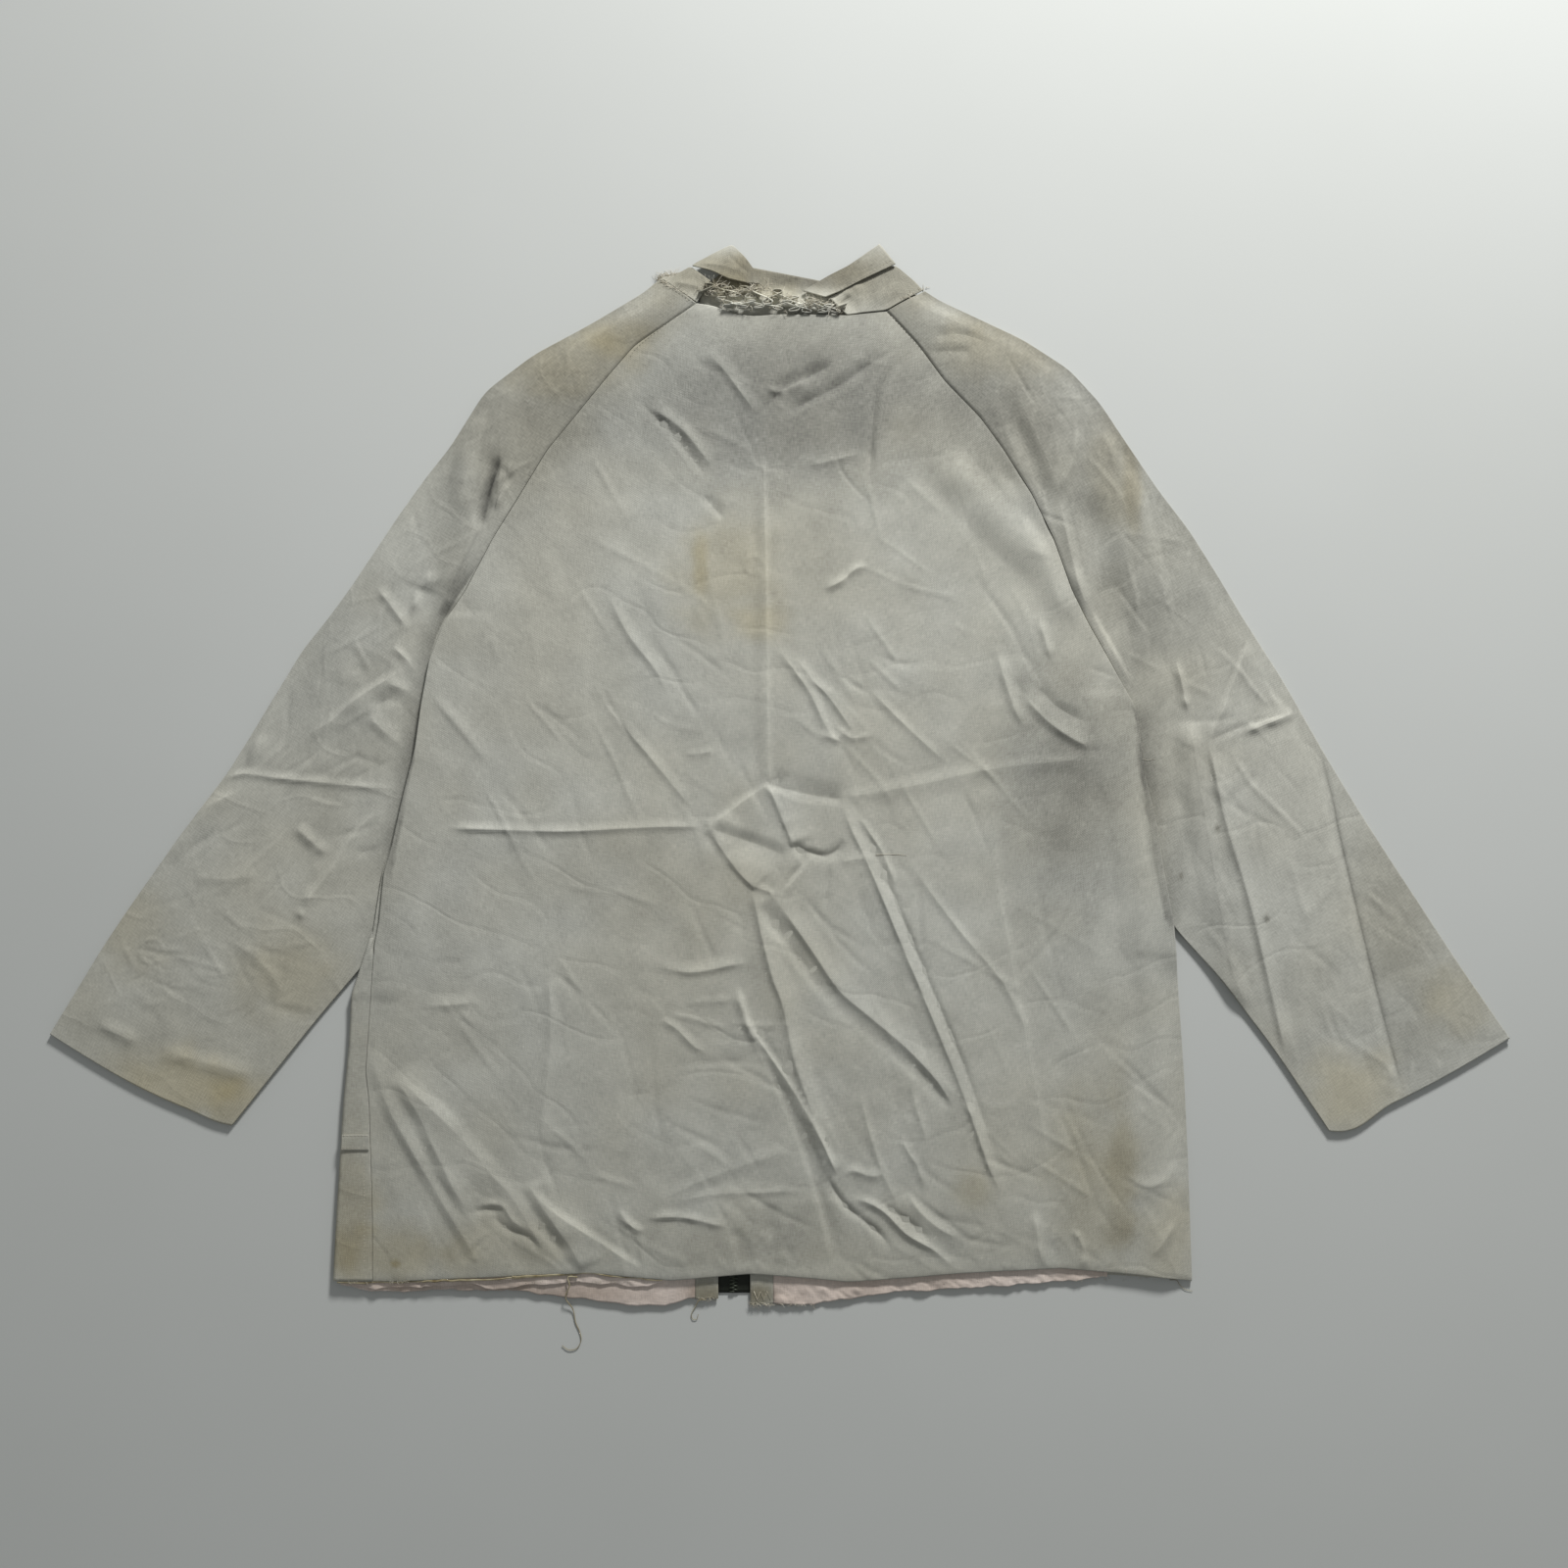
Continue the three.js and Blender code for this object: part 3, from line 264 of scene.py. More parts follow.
def pressed_disc(x, y, radius, rise=0.5):
    """The round mark of something pressed into the cloth."""
    turn = np.radians(np.arange(0, 360, 40))
    return crease(rise, 1.8, 1.8, *[(x + radius * math.cos(a), y + radius * math.sin(a)) for a in turn],
                  ends=0.05)


# Creases of each panel: rise, reach of the left and of the right flank, and the path
BACK_CREASES = [
    pressed_disc(-19, 170, 7),
    # broad slopes on both sides of the main lines
    crease(1.0, 60, 45, (-245, -22), (-205, -23), (-150, -24), (-90, -21), (-54, -21), power=1.3),
    crease(-1.1, 45, 55, (-8, 10), (20, 3), (45, -1), (107, 11), (160, 22), (233, 29), power=1.3),
    crease(0.7, 50, 60, (-12, 249), (-10, 154), (-9, 60), (-8, 10), power=1.2),
    crease(0.9, 50, 14, (45, -1), (66, -52), (111, -160), (163, -292), power=1.2),
    crease(0.9, 14, 50, (-20, -67), (-14, -98), (2, -152), (27, -240), (42, -276), power=1.2),
    crease(-0.9, 50, 50, (153, 40), (156, -20), (165, -96), (190, -230), power=1.2),
    crease(0.8, 60, 40, (-172, -98), (-168, -181), (-179, -271), power=1.2),
    crease(0.9, 50, 50, (-100, 290), (-60, 230), (-40, 180), (-60, 100), power=1.2),
    crease(0.8, 60, 40, (66, 320), (70, 250), (50, 150), (46, 41), power=1.2),
    crease(-0.7, 30, 30, (-100, -300), (-60, -287), (-5, -288), (28, -284), power=1.2),
    # the pressed fold down the middle
    crease(1.2, 3, 14, (-12, 249), (-10, 154), (-9, 60), (-8, 10), sharp=0.95, ends=0.04),
    crease(-0.5, 5, 5, (-19, 240), (-18, 150), (-19, 60), (-16, 4), sharp=0.3, ends=0.1),
    # the star at the waist
    crease(-1.7, 14, 6, (-8, 10), (20, 3), (45, -1), power=1.3, ends=0.08),
    crease(1.3, 8, 12, (45, -1), (65, 3), (107, 11), (137, 18), (160, 22), ends=0.1),
    crease(1.0, 6, 12, (137, 18), (180, 25), (233, 29)),
    crease(1.5, 4, 24, (-54, -21), (-38, -11), (-22, 1), (-8, 10), power=1.2, ends=0.04),
    crease(1.4, 5, 3, (-245, -22), (-205, -23), (-175, -24), (-150, -24), (-90, -21), (-54, -21),
           power=1.4, ends=0.1),
    crease(1.6, 20, 3, (-8, 10), (-3, -4), (3, -18), (10, -35), power=1.3, ends=0.06),
    crease(-1.7, 8, 16, (-54, -21), (-34, -28), (-14, -35), (6, -43), power=1.3, ends=0.08),
    crease(1.5, 24, 3.5, (-54, -21), (-42, -38), (-30, -54), (-17, -67), power=1.3, ends=0.06),
    crease(-1.8, 4, 6, (9, -34), (16, -38), (24, -40), (33, -42), (42, -38), (46, -29), ends=0.12),
    crease(-1.3, 4, 6, (10, -35), (18, -44), (8, -58), (-2, -72)),
    crease(1.0, 5, 4, (22, -45), (12, -58), (2, -70)),
    crease(-0.9, 4, 4, (37, -46), (35, -60), (33, -82)),
    crease(1.0, 5, 5, (-20, -66), (-10, -67), (-2, -74)),
    crease(0.8, 4, 5, (42, -47), (58, -44), (70, -43)),
    # the long narrow ridge and the thin one beside it
    crease(1.7, 8, 2.5, (45, -1), (52, -22), (66, -52), (86, -100), (111, -160), (133, -214),
           (152, -268), (163, -292), power=1.4, ends=0.1),
    crease(-1.0, 2.5, 4, (56, -8), (63, -26), (75, -52), (94, -98), (119, -158), (140, -210),
           (162, -276), power=1.3),
    crease(1.2, 4, 3, (57, -12), (66, -26), (76, -42), (86, -68)),
    # the long curved valley under its steep bank
    crease(-1.8, 10, 6, (-15, -74), (-6, -90), (4, -103), (17, -121), (31, -139), (43, -150),
           sharp=0.5, power=1.3, ends=0.1),
    crease(-0.9, 4, 8, (34, -144), (50, -158), (64, -169), (90, -191), (110, -210), (126, -229),
           sharp=0.3, ends=0.12),
    crease(1.8, 14, 4, (-3, -73), (10, -92), (24, -112), (43, -140), (66, -160), (92, -182),
           (112, -203), (120, -214), (130, -232), ends=0.16),
    # the third long fold
    crease(1.9, 3, 8, (-31, -136), (-25, -156), (-19, -171), (0, -199), (12, -217), (23, -236),
           (34, -258), (43, -278), power=1.3, ends=0.08),
    crease(1.6, 13, 3, (-20, -67), (-14, -98), (-6, -130), (2, -152), (11, -194), (27, -240),
           (42, -276), power=1.4, ends=0.06),
    crease(-1.4, 9, 3, (-20, -170), (-10, -190), (0, -212), (10, -236), (20, -262), (30, -294),
           (38, -326), (41, -342), sharp=0.5, power=1.3, ends=0.1),
    crease(1.0, 3, 3, (-33, -136), (-28, -154), (-22, -170), (-12, -186)),
    # where they meet the hem
    crease(-1.9, 4, 5, (33, -270), (38, -284), (48, -298), (60, -308), (72, -318), (84, -332)),
    crease(1.7, 5, 5, (44, -294), (60, -294), (76, -302), (92, -318), (112, -330), (131, -346)),
    crease(1.4, 6, 6, (45, -275), (54, -272), (66, -276), (78, -274)),
    crease(1.6, 5, 8, (92, -286), (99, -298), (106, -306), (122, -318), (137, -323)),
    crease(-1.3, 4, 5, (72, -296), (92, -308), (112, -325)),
    crease(0.9, 5, 4, (57, -210), (66, -246), (76, -276), (90, -304)),
    crease(1.0, 4, 4, (96, -194), (98, -220), (104, -240), (108, -258)),
    crease(1.1, 4, 4, (88, -244), (92, -256), (101, -270), (107, -290)),
    # low on the left
    crease(2.5, 28, 7.5, (-284, -202), (-270, -220), (-256, -247), (-241, -279), (-226, -304),
           power=1.3, ends=0.1),
    crease(1.6, 9, 16, (-284, -200), (-262, -220), (-240, -241), (-215, -270), (-196, -292),
           (-180, -318), (-167, -342), power=1.3, ends=0.15),
    crease(1.9, 18, 6.6, (-300, -185), (-288, -222), (-266, -262), (-243, -301), (-225, -331),
           (-218, -350), power=1.3, ends=0.12),
    crease(-1.3, 4, 5, (-226, -304), (-217, -301), (-206, -301), (-208, -307), (-198, -316),
           (-184, -321), (-174, -332), ends=0.12),
    crease(1.3, 5, 5, (-222, -299), (-212, -296), (-202, -298), (-196, -308), (-184, -316)),
    crease(2.3, 22, 7.5, (-184, -279), (-178, -292), (-168, -306), (-154, -326), (-142, -346),
           power=1.3, ends=0.1),
    crease(1.6, 5, 18, (-182, -286), (-168, -300), (-148, -314), (-122, -331), (-98, -347),
           power=1.3, ends=0.12),
    crease(1.0, 8, 5, (-172, -98), (-168, -139), (-168, -181), (-172, -222), (-179, -271)),
    crease(0.8, 9, 5, (-262, -152), (-240, -151), (-219, -148)),
    crease(1.0, 5, 5, (-119, -300), (-112, -308), (-104, -318)),
    # lower middle
    crease(1.3, 8, 4, (-92, -122), (-70, -127), (-54, -126), (-36, -122), (-19, -120)),
    crease(1.5, 6, 4, (-100, -309), (-85, -306), (-66, -307), (-50, -311), (-35, -314)),
    crease(0.9, 8, 8, (-100, -300), (-60, -281), (-20, -266), (16, -256)),
    crease(0.8, 9, 4, (-90, -299), (-50, -290), (-5, -288), (24, -286)),
    crease(1.0, 5, 5, (-90, -160), (-76, -168), (-62, -182), (-50, -186)),
    crease(0.7, 4, 4, (-88, -156), (-60, -162), (-36, -170), (-20, -172)),
    crease(0.7, 4, 4, (-70, -150), (-44, -148), (-30, -146)),
    crease(1.2, 5, 5, (-119, -306), (-99, -318)),
    crease(-1.6, 8, 9, (-6, -294), (-8, -318), (-12, -345), sharp=0.3, ends=0.3),
    crease(-1.2, 6, 6, (-36, -314), (-28, -326), (-26, -345), sharp=0.3, ends=0.3),
    # from the armhole and the right side
    crease(0.9, 6, 4, (90, -40), (108, -66), (133, -99), (161, -132), (175, -158), (191, -192)),
    crease(0.9, 4, 14, (153, 22), (156, -20), (160, -70), (165, -96), (177, -162), (190, -230),
           (201, -302)),
    crease(1.0, 13, 13, (225, -40), (232, -110), (236, -176), sharp=0.2),
    crease(-1.0, 12, 12, (246, -30), (252, -100), (256, -190), sharp=0.2),
    crease(1.1, 13, 12, (262, -50), (270, -120), (276, -210), sharp=0.2),
    crease(1.9, 9, 6, (178, 82), (183, 70), (196, 56), (213, 44), (234, 34)),
    crease(1.4, 8, 5, (158, 114), (162, 94), (172, 64), (182, 48)),
    crease(-1.2, 7, 7, (186, 84), (204, 66), (226, 54)),
    crease(1.2, 6, 5, (189, 132), (199, 98)),
    crease(1.6, 7, 6, (296, -296), (286, -316), (271, -337)),
    crease(1.5, 8, 14, (252, -276), (268, -284), (284, -278), (298, -264)),
    crease(1.4, 6, 5, (186, -300), (188, -320), (192, -345), ends=0.2),
    crease(-1.4, 5, 7, (200, -322), (206, -332), (212, -346), sharp=0.5, ends=0.2),
    crease(1.3, 5, 4, (214, -314), (222, -330), (220, -346), ends=0.2),
    crease(1.0, 3, 16, (255, 60), (258, 30), (262, -10), (267, -45), (273, -78)),
    # the yoke
    crease(-1.3, 9, 5, (-106, 294), (-92, 280), (-78, 266), (-62, 246), (-50, 232)),
    crease(-1.0, 8, 5, (-58, 224), (-48, 212), (-39, 203)),
    crease(1.8, 8, 6, (-100, 288), (-72, 270), (-48, 240)),
    crease(1.5, 9, 5, (-56, 329), (-40, 312), (-26, 293), (-15, 279)),
    crease(-2.1, 9, 5, (-15, 279), (0, 297), (20, 308), (42, 319)),
    crease(1.7, 5, 5, (-12, 303), (-3, 297), (8, 300), (22, 307)),
    crease(-1.8, 8, 6, (-2, 279), (20, 290), (40, 300), (58, 312), (77, 328)),
    crease(-1.7, 5, 5, (86, 322), (76, 306), (70, 290), (67, 256), (65, 224)),
    crease(0.9, 5, 4, (18, 242), (40, 247), (61, 252)),
    crease(1.8, 5, 5, (31, 152), (40, 156), (47, 160), (56, 168), (66, 170)),
    crease(2.5, 16, 20, (108, 262), (124, 242), (140, 225), (160, 203), (200, 165), (225, 120),
           sharp=0.2, ends=0.2),
    crease(-1.7, 12, 12, (150, 262), (172, 236), (190, 205), (206, 170), sharp=0.2),
    # between the middle and the sleeves
    crease(1.3, 8, 5, (-126, 150), (-111, 120), (-91, 94), (-82, 75)),
    crease(0.8, 7, 4, (-132, 73), (-95, 30), (-60, -13)),
    crease(0.7, 7, 4, (-258, 79), (-235, 52), (-211, 22)),
    crease(1.5, 8, 5, (-4, 112), (20, 80), (35, 50), (46, 41)),
    crease(1.4, 7, 4, (9, 107), (24, 86), (35, 75), (50, 54), (56, 42)),
    crease(1.2, 5, 4, (28, 47), (38, 44), (46, 40)),
    crease(1.0, 4, 4, (42, 52), (52, 44), (68, 46)),
    crease(0.8, 5, 5, (62, 83), (94, 51), (126, 22)),
    crease(0.8, 4, 4, (-70, 32), (-56, 33), (-46, 36)),
] + small_creases(
    61, (16, 0, 280, 150, 45, -60, 44), (24, -150, 110, 110, 100, -58, 60),
    (8, -60, 60, 40, 60, -65, 44), (28, 120, 110, 110, 100, -56, 56), (10, 30, 70, 40, 50, -55, 38),
    (26, -170, -130, 110, 90, -70, 56), (26, -160, -270, 120, 60, -50, 50),
    (32, 90, -120, 90, 110, -62, 70), (32, 120, -280, 110, 55, -50, 50),
    (24, 235, -120, 50, 150, -82, 90), (12, -60, -230, 40, 70, -20, 56),
    (30, 80, -344, 160, 5, 80, 10), (16, -190, -344, 110, 5, 70, 10))

LEFT_SLEEVE_CREASES = [
    pressed_disc(-460, -112, 9),
    crease(1.8, 5, 12, (-352, 43), (-330, 55), (-310, 72), (-290, 85), (-270, 97)),
    crease(2.1, 8, 6, (-290, 84), (-275, 80), (-260, 69)),
    crease(-1.8, 7, 7, (-300, 66), (-282, 72), (-264, 60)),
    crease(1.7, 5, 5, (-284, 112), (-272, 100), (-262, 84)),
    crease(1.4, 5, 3.5, (-413, 12), (-395, 18), (-370, 15), (-340, 12), (-300, 8), (-271, 6),
           ends=0.1),
    crease(2.4, 12, 7, (-364, 86), (-376, 62), (-384, 40), (-394, 19)),
    crease(2.5, 7, 12, (-452, -48), (-430, -20), (-418, -5), (-394, 6)),
    crease(2.0, 5, 12, (-347, -77), (-330, -55), (-315, -32), (-300, -15), (-277, -7)),
    crease(-2.0, 4, 6, (-312, -41), (-295, -36), (-282, -28)),
    crease(2.0, 8, 7, (-302, 61), (-285, 45), (-269, 32)),
    crease(1.7, 7, 7, (-356, -19), (-342, -32), (-329, -43)),
    crease(1.7, 7, 6, (-353, -92), (-347, -78), (-339, -63)),
    crease(0.9, 9, 6, (-432, -58), (-405, -59), (-379, -56)),
    crease(0.9, 8, 8, (-411, -99), (-390, -112), (-375, -125), (-359, -151)),
    crease(2.0, 7, 6, (-254, 168), (-258, 158), (-265, 150), (-268, 133)),
    crease(1.1, 7, 6, (-297, 157), (-284, 140), (-269, 120)),
    crease(2.4, 10, 10, (-220, 290), (-228, 262), (-232, 240), (-234, 200), sharp=0.3),
    crease(-2.4, 5, 8, (-204, 252), (-211, 234), (-216, 214), (-219, 196), sharp=0.5),
    crease(2.0, 7, 9, (-196, 248), (-203, 230), (-209, 208)),
    crease(2.0, 8, 8, (-457, -184), (-430, -192), (-400, -200), (-383, -206)),
    crease(1.7, 8, 7, (-502, -164), (-486, -172), (-468, -181)),
    crease(0.9, 12, 12, (-330, 110), (-300, 60), (-290, 20), sharp=0.1),
] + small_creases(
    62, (26, -200, 260, 60, 80, 60, 36), (40, -300, 100, 60, 90, 55, 40),
    (44, -370, -20, 80, 70, 40, 42), (40, -440, -140, 70, 70, -20, 36))

RIGHT_SLEEVE_CREASES = [
    crease(-0.9, 3, 3, (378, 64), (345, 55), (314, 42), ends=0.15),
    crease(-1.0, 3, 3, (343, 120), (328, 84), (316, 48), ends=0.15),
    crease(-2.0, 18, 12, (222, 230), (232, 190), (240, 150), (250, 110), sharp=0.2, ends=0.2),
    crease(3.0, 10, 32, (233, 290), (243, 265), (252, 240), (260, 215), (266, 190), (277, 150),
           (280, 98), sharp=0.3),
    crease(-1.8, 9, 8, (240, 282), (250, 258), (258, 233), sharp=0.2),
    crease(-2.4, 9, 9, (161, 300), (178, 262), (190, 235), (201, 203), sharp=0.4),
    crease(2.4, 7, 9, (202, 224), (212, 180), (218, 156), (227, 131)),
    crease(1.7, 6, 6, (218, 274), (213, 245), (203, 221)),
    crease(3.4, 9, 34, (298, 60), (303, 30), (308, 0), (318, -60), (330, -125), (344, -158),
           ends=0.1),
    crease(2.0, 12, 3.5, (313, 43), (325, -15), (340, -65), (355, -125), (371, -192), ends=0.1),
    crease(1.8, 7, 6, (346, 121), (332, 86), (322, 60), (314, 41)),
    crease(2.0, 6, 7, (384, 66), (360, 56), (334, 46)),
    # the flat facet at the outside, behind the long dark line
    crease(-2.4, 42, 8, (394, 40), (405, 0), (411, -30), (425, -90), (441, -155), (459, -221),
           power=1.2, ends=0.08),
    crease(-1.2, 4, 2.5, (395, 38), (405, 0), (411, -30), (425, -90), (441, -155), (457, -215),
           ends=0.1),
    crease(-1.7, 7, 7, (487, -107), (494, -117), (501, -130), sharp=0.2),
    crease(1.7, 5, 5, (442, -218), (446, -206), (451, -196)),
    crease(-1.7, 4, 4, (450, -208), (456, -198), (462, -188)),
    crease(1.7, 4, 4, (462, -207), (463, -198), (462, -190)),
    crease(-1.1, 4, 4, (472, -206), (474, -198), (476, -190)),
    crease(1.7, 4, 4, (483, -204), (483, -197), (481, -190)),
    crease(-3.2, 16, 14, (282, 66), (286, 0), (294, -62), sharp=0.1),
    crease(1.8, 6, 6, (289, 104), (294, 82), (299, 59)),
    crease(-1.0, 8, 8, (108, 337), (130, 339), (152, 333)),
    crease(-0.9, 7, 7, (108, 325), (124, 327), (142, 325)),
] + small_creases(
    63, (14, 470, -200, 34, 8, 64, 14), (26, 200, 260, 60, 80, -62, 44), (40, 300, 100, 60, 90, -68, 46),
    (44, 370, -20, 80, 70, -70, 46), (40, 430, -140, 70, 70, -66, 36))

# Sections of the sleeves from the neck to the cuff: x and y of the inner end, x and y of the outer
# one, and the width of the strip beside the seam that lies as high as the body
LEFT_SECTIONS = [
    (-61, 362, -87, 380.5, 7), (-80, 349, -101, 369, 8), (-106.5, 331, -140, 346, 10),
    (-129, 305, -180, 325, 12), (-150, 279, -216, 298, 12), (-170, 255, -241, 258, 10),
    (-190, 222, -260, 234, 10), (-210, 190, -280, 206, 10), (-230, 152, -314, 155, 9),
    (-246, 128, -330, 133, 6), (-246, 101, -350, 108, 6), (-252, 60, -385, 50, 6),
    (-260, 18, -405, 18, 6), (-270, -26, -440, -28, 6), (-282, -76, -478, -82, 6),
    (-302, -118, -498, -112, 6), (-338, -160, -513, -137, 6), (-402, -240, -535, -173, 6),
]
RIGHT_SECTIONS = [
    (78, 356, 106, 371, 7), (85, 349, 117, 364, 8), (101.5, 331, 141, 353, 10),
    (120.5, 305, 178, 336, 12), (146, 279, 212, 314, 12), (163.5, 255, 234, 290, 12),
    (184.5, 222, 254, 260, 10), (200, 190, 277, 226, 6), (213.5, 152, 300, 196, 5),
    (225.5, 128, 322, 161, 5), (241, 101, 338, 134, 5), (259, 68, 352, 112, 5),
    (251, 46, 368, 87, 6), (257, 8, 385, 57, 6), (267, -30, 401, 29, 6), (273, -72, 426, -12, 6),
    (292, -98, 451, -51, 6), (322, -131, 480, -95, 6), (361, -182, 505, -133, 6),
    (403, -244, 535, -176, 6),
]
SIDES = {
    "left": {"side": -1, "sections": LEFT_SECTIONS, "creases": LEFT_SLEEVE_CREASES,
             "seam": left_seam, "edge": left_fold, "dive": (146, 132), "pleat": (262, 232),
             "cuff": (6, 6, 0.25)},
    "right": {"side": 1, "sections": RIGHT_SECTIONS, "creases": RIGHT_SLEEVE_CREASES,
              "seam": right_edge, "edge": right_edge, "dive": (108, 78), "pleat": (190, 130),
              "cuff": (4, 22, 0.35)},
}


def front_floor(x, y):
    """How much the body is lifted where a sleeve passes below its edge."""
    left = ramp(150, 130, y) * ramp(-165, -140, y) * ramp(58, 26, x - left_fold(y))
    right = ramp(94, 72, y) * ramp(-136, -108, y) * ramp(58, 26, right_edge(y) - x)
    return UNDER_SLEEVE * np.maximum(left, right)


def back_top(x, y):
    """Height of the outer face of the back."""
    on_front = front_floor(x, y) + CLOTH + SEAM_GAP
    inset = np.minimum(x - left_seam(y), right_edge(y) - x)
    crown = BACK_CROWN * ramp(0, 60, inset) * ramp(HEM, HEM + 60, y) * ramp(354, 320, y)
    folds = creases_at(BACK_CREASES, x, y) * (0.3 + 0.7 * ramp(0, 14, inset))
    soft = 0.6 * noise(x, y, 70, 1) + 0.34 * noise(x, y, 31, 2) + 0.17 * noise(x, y, 13, 3)
    drop = ramp(90, 60, y) * ramp(22, 0, right_edge(y) - x)
    flat = np.maximum(BACK_FLOOR, on_front)
    lowest = np.where(y < -325, BACK_FLOOR - 0.4, np.maximum(2.6, on_front))
    free = np.maximum(lowest, flat + crown + folds + soft * ramp(0, 20, inset))
    return CLOTH + lerp(free, on_front, drop)


def spaced(count, length, rim=0.7):
    """count places from 0 to 1, with the first and the last step only rim long."""
    inner = np.linspace(rim / length, 1 - rim / length, count - 2)
    return np.concatenate([[0.0], inner, [1.0]])


def whole(count, every):
    """At least count points, so many that every divides the steps between them."""
    return int(math.ceil((count - 1) / every)) * every + 1


def normals_of(grid):
    along = np.gradient(grid, axis=0)
    across = np.gradient(grid, axis=1)
    normal = np.cross(across, along)
    normal /= np.maximum(np.linalg.norm(normal, axis=2, keepdims=True), 1e-9)
    return -normal if normal[..., 2].mean() < 0 else normal


def rim_of(rows, columns):
    """Row and column of each point round a grid, in order."""
    r = [0] * (columns - 1) + list(range(rows - 1))
    r += [rows - 1] * (columns - 1) + list(range(rows - 1, 0, -1))
    c = list(range(columns - 1)) + [columns - 1] * (rows - 1)
    c += list(range(columns - 1, 0, -1)) + [0] * (rows - 1)
    return np.array(r), np.array(c)


def grid_faces(rows, columns, first=0):
    n = np.arange(rows * columns).reshape(rows, columns) + first
    corners = [n[:-1, :-1], n[1:, :-1], n[1:, 1:], n[:-1, 1:]]
    return np.stack([a.ravel() for a in corners], axis=1)


def faces_along(grid):
    """The cells of a grid as triangles, each cell cut along the diagonal on which the surface
    bends least, so that a crest that crosses the grid isn't notched."""
    rows, columns = grid.shape[:2]
    n = np.arange(rows * columns).reshape(rows, columns)
    z = np.pad(grid[..., 2], 1, mode="reflect", reflect_type="odd")

    def at(down, right):
        return z[1 + down:rows + down, 1 + right:columns + right]

    falling = (np.abs(at(-1, -1) - 2 * at(0, 0) + at(1, 1))
               + np.abs(at(0, 0) - 2 * at(1, 1) + at(2, 2)))
    rising = (np.abs(at(-1, 2) - 2 * at(0, 1) + at(1, 0))
              + np.abs(at(0, 1) - 2 * at(1, 0) + at(2, -1)))
    a, b, c, d = (k.ravel() for k in (n[:-1, :-1], n[1:, :-1], n[1:, 1:], n[:-1, 1:]))
    fall = (falling <= rising).ravel()
    first = np.stack([a, b, np.where(fall, c, d)], axis=1)
    second = np.stack([np.where(fall, a, b), c, d], axis=1)
    return np.vstack([first, second])


def placed(name, data):
    """A new object of the scene."""
    made = bpy.data.objects.new(name, data)
    bpy.context.scene.collection.objects.link(made)
    return made


def mesh_piece(name, points, faces, material, weave=None):
    """A smooth mesh that rides on the body. weave holds how far along and across the cloth each
    point lies, in millimetres."""
    mesh = bpy.data.meshes.new(name)
    mesh.from_pydata((np.asarray(points) * MM).tolist(), [], faces)
    mesh.update()
    mesh.shade_smooth()
    mesh.materials.append(MATERIALS[material])
    if weave is not None:
        corners = np.empty(len(mesh.loops), int)
        mesh.loops.foreach_get("vertex_index", corners)
        layer = mesh.uv_layers.new(name="weave")
        layer.data.foreach_set("uv", (weave[corners] * MM).ravel())
    # The tone carries painted light and shade as well as the lightness of stains.
    stain, tone_and_painted_light = stains_and_painted_light(*np.asarray(points)[:, :2].T)
    for label, values in (("stain", stain), ("tone_and_painted_light", tone_and_painted_light)):
        mesh.attributes.new(label, "FLOAT", "POINT").data.foreach_set("value", values)
    piece = placed(name, mesh)
    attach(piece, "root")
    return piece


def shell(name, grid, thickness, material="cloth", every=1):
    """A closed thin shell. grid holds the points of its outer face, in millimetres, in rows and
    columns. Its underside has only each every-th row and column of them."""
    rows, columns = grid.shape[:2]
    normal = normals_of(grid)
    under = (grid - normal * thickness)[::every, ::every]
    r, c = rim_of(rows, columns)
    outer = r * columns + c
    inward = grid[np.clip(r, 1, rows - 2), np.clip(c, 1, columns - 2)] - grid[r, c]
    inward /= np.maximum(np.linalg.norm(inward, axis=1, keepdims=True), 1e-9)
    middle = grid[r, c] - normal[r, c] * thickness / 2 - inward * RIM_BULGE
    low_rows, low_columns = under.shape[:2]
    first_middle = rows * columns
    first_under = first_middle + len(middle)
    points = np.vstack([grid.reshape(-1, 3), middle, under.reshape(-1, 3)])
    faces = faces_along(grid).tolist()
    faces += grid_faces(low_rows, low_columns, first_under)[:, ::-1].tolist()
    ring = len(outer)
    low_r, low_c = rim_of(low_rows, low_columns)
    lower = first_under + low_r * low_columns + low_c
    for k in range(ring):
        after = (k + 1) % ring
        faces.append([int(i) for i in
                      (outer[k], outer[after], first_middle + after, first_middle + k)])
    turn = max(every // 2, 1)
    for k, here in enumerate(lower):
        there = lower[(k + 1) % len(lower)]
        for step in range(every):
            a = first_middle + (k * every + step) % ring
            b = first_middle + (k * every + step + 1) % ring
            faces.append([int(i) for i in (a, b, here if step < turn else there)])
            if step == turn - 1:
                faces.append([int(i) for i in (b, there, here)])
    along = np.cumsum(np.linalg.norm(np.diff(grid, axis=0, prepend=grid[:1]), axis=2), axis=0)
    across = np.cumsum(np.linalg.norm(np.diff(grid, axis=1, prepend=grid[:, :1]), axis=2), axis=1)
    across -= across.mean(axis=1, keepdims=True)
    weave = np.stack([across, along], axis=2)
    weave = np.vstack([weave.reshape(-1, 2), weave[r, c], weave[::every, ::every].reshape(-1, 2)])
    return mesh_piece(name, points, faces, material, weave)


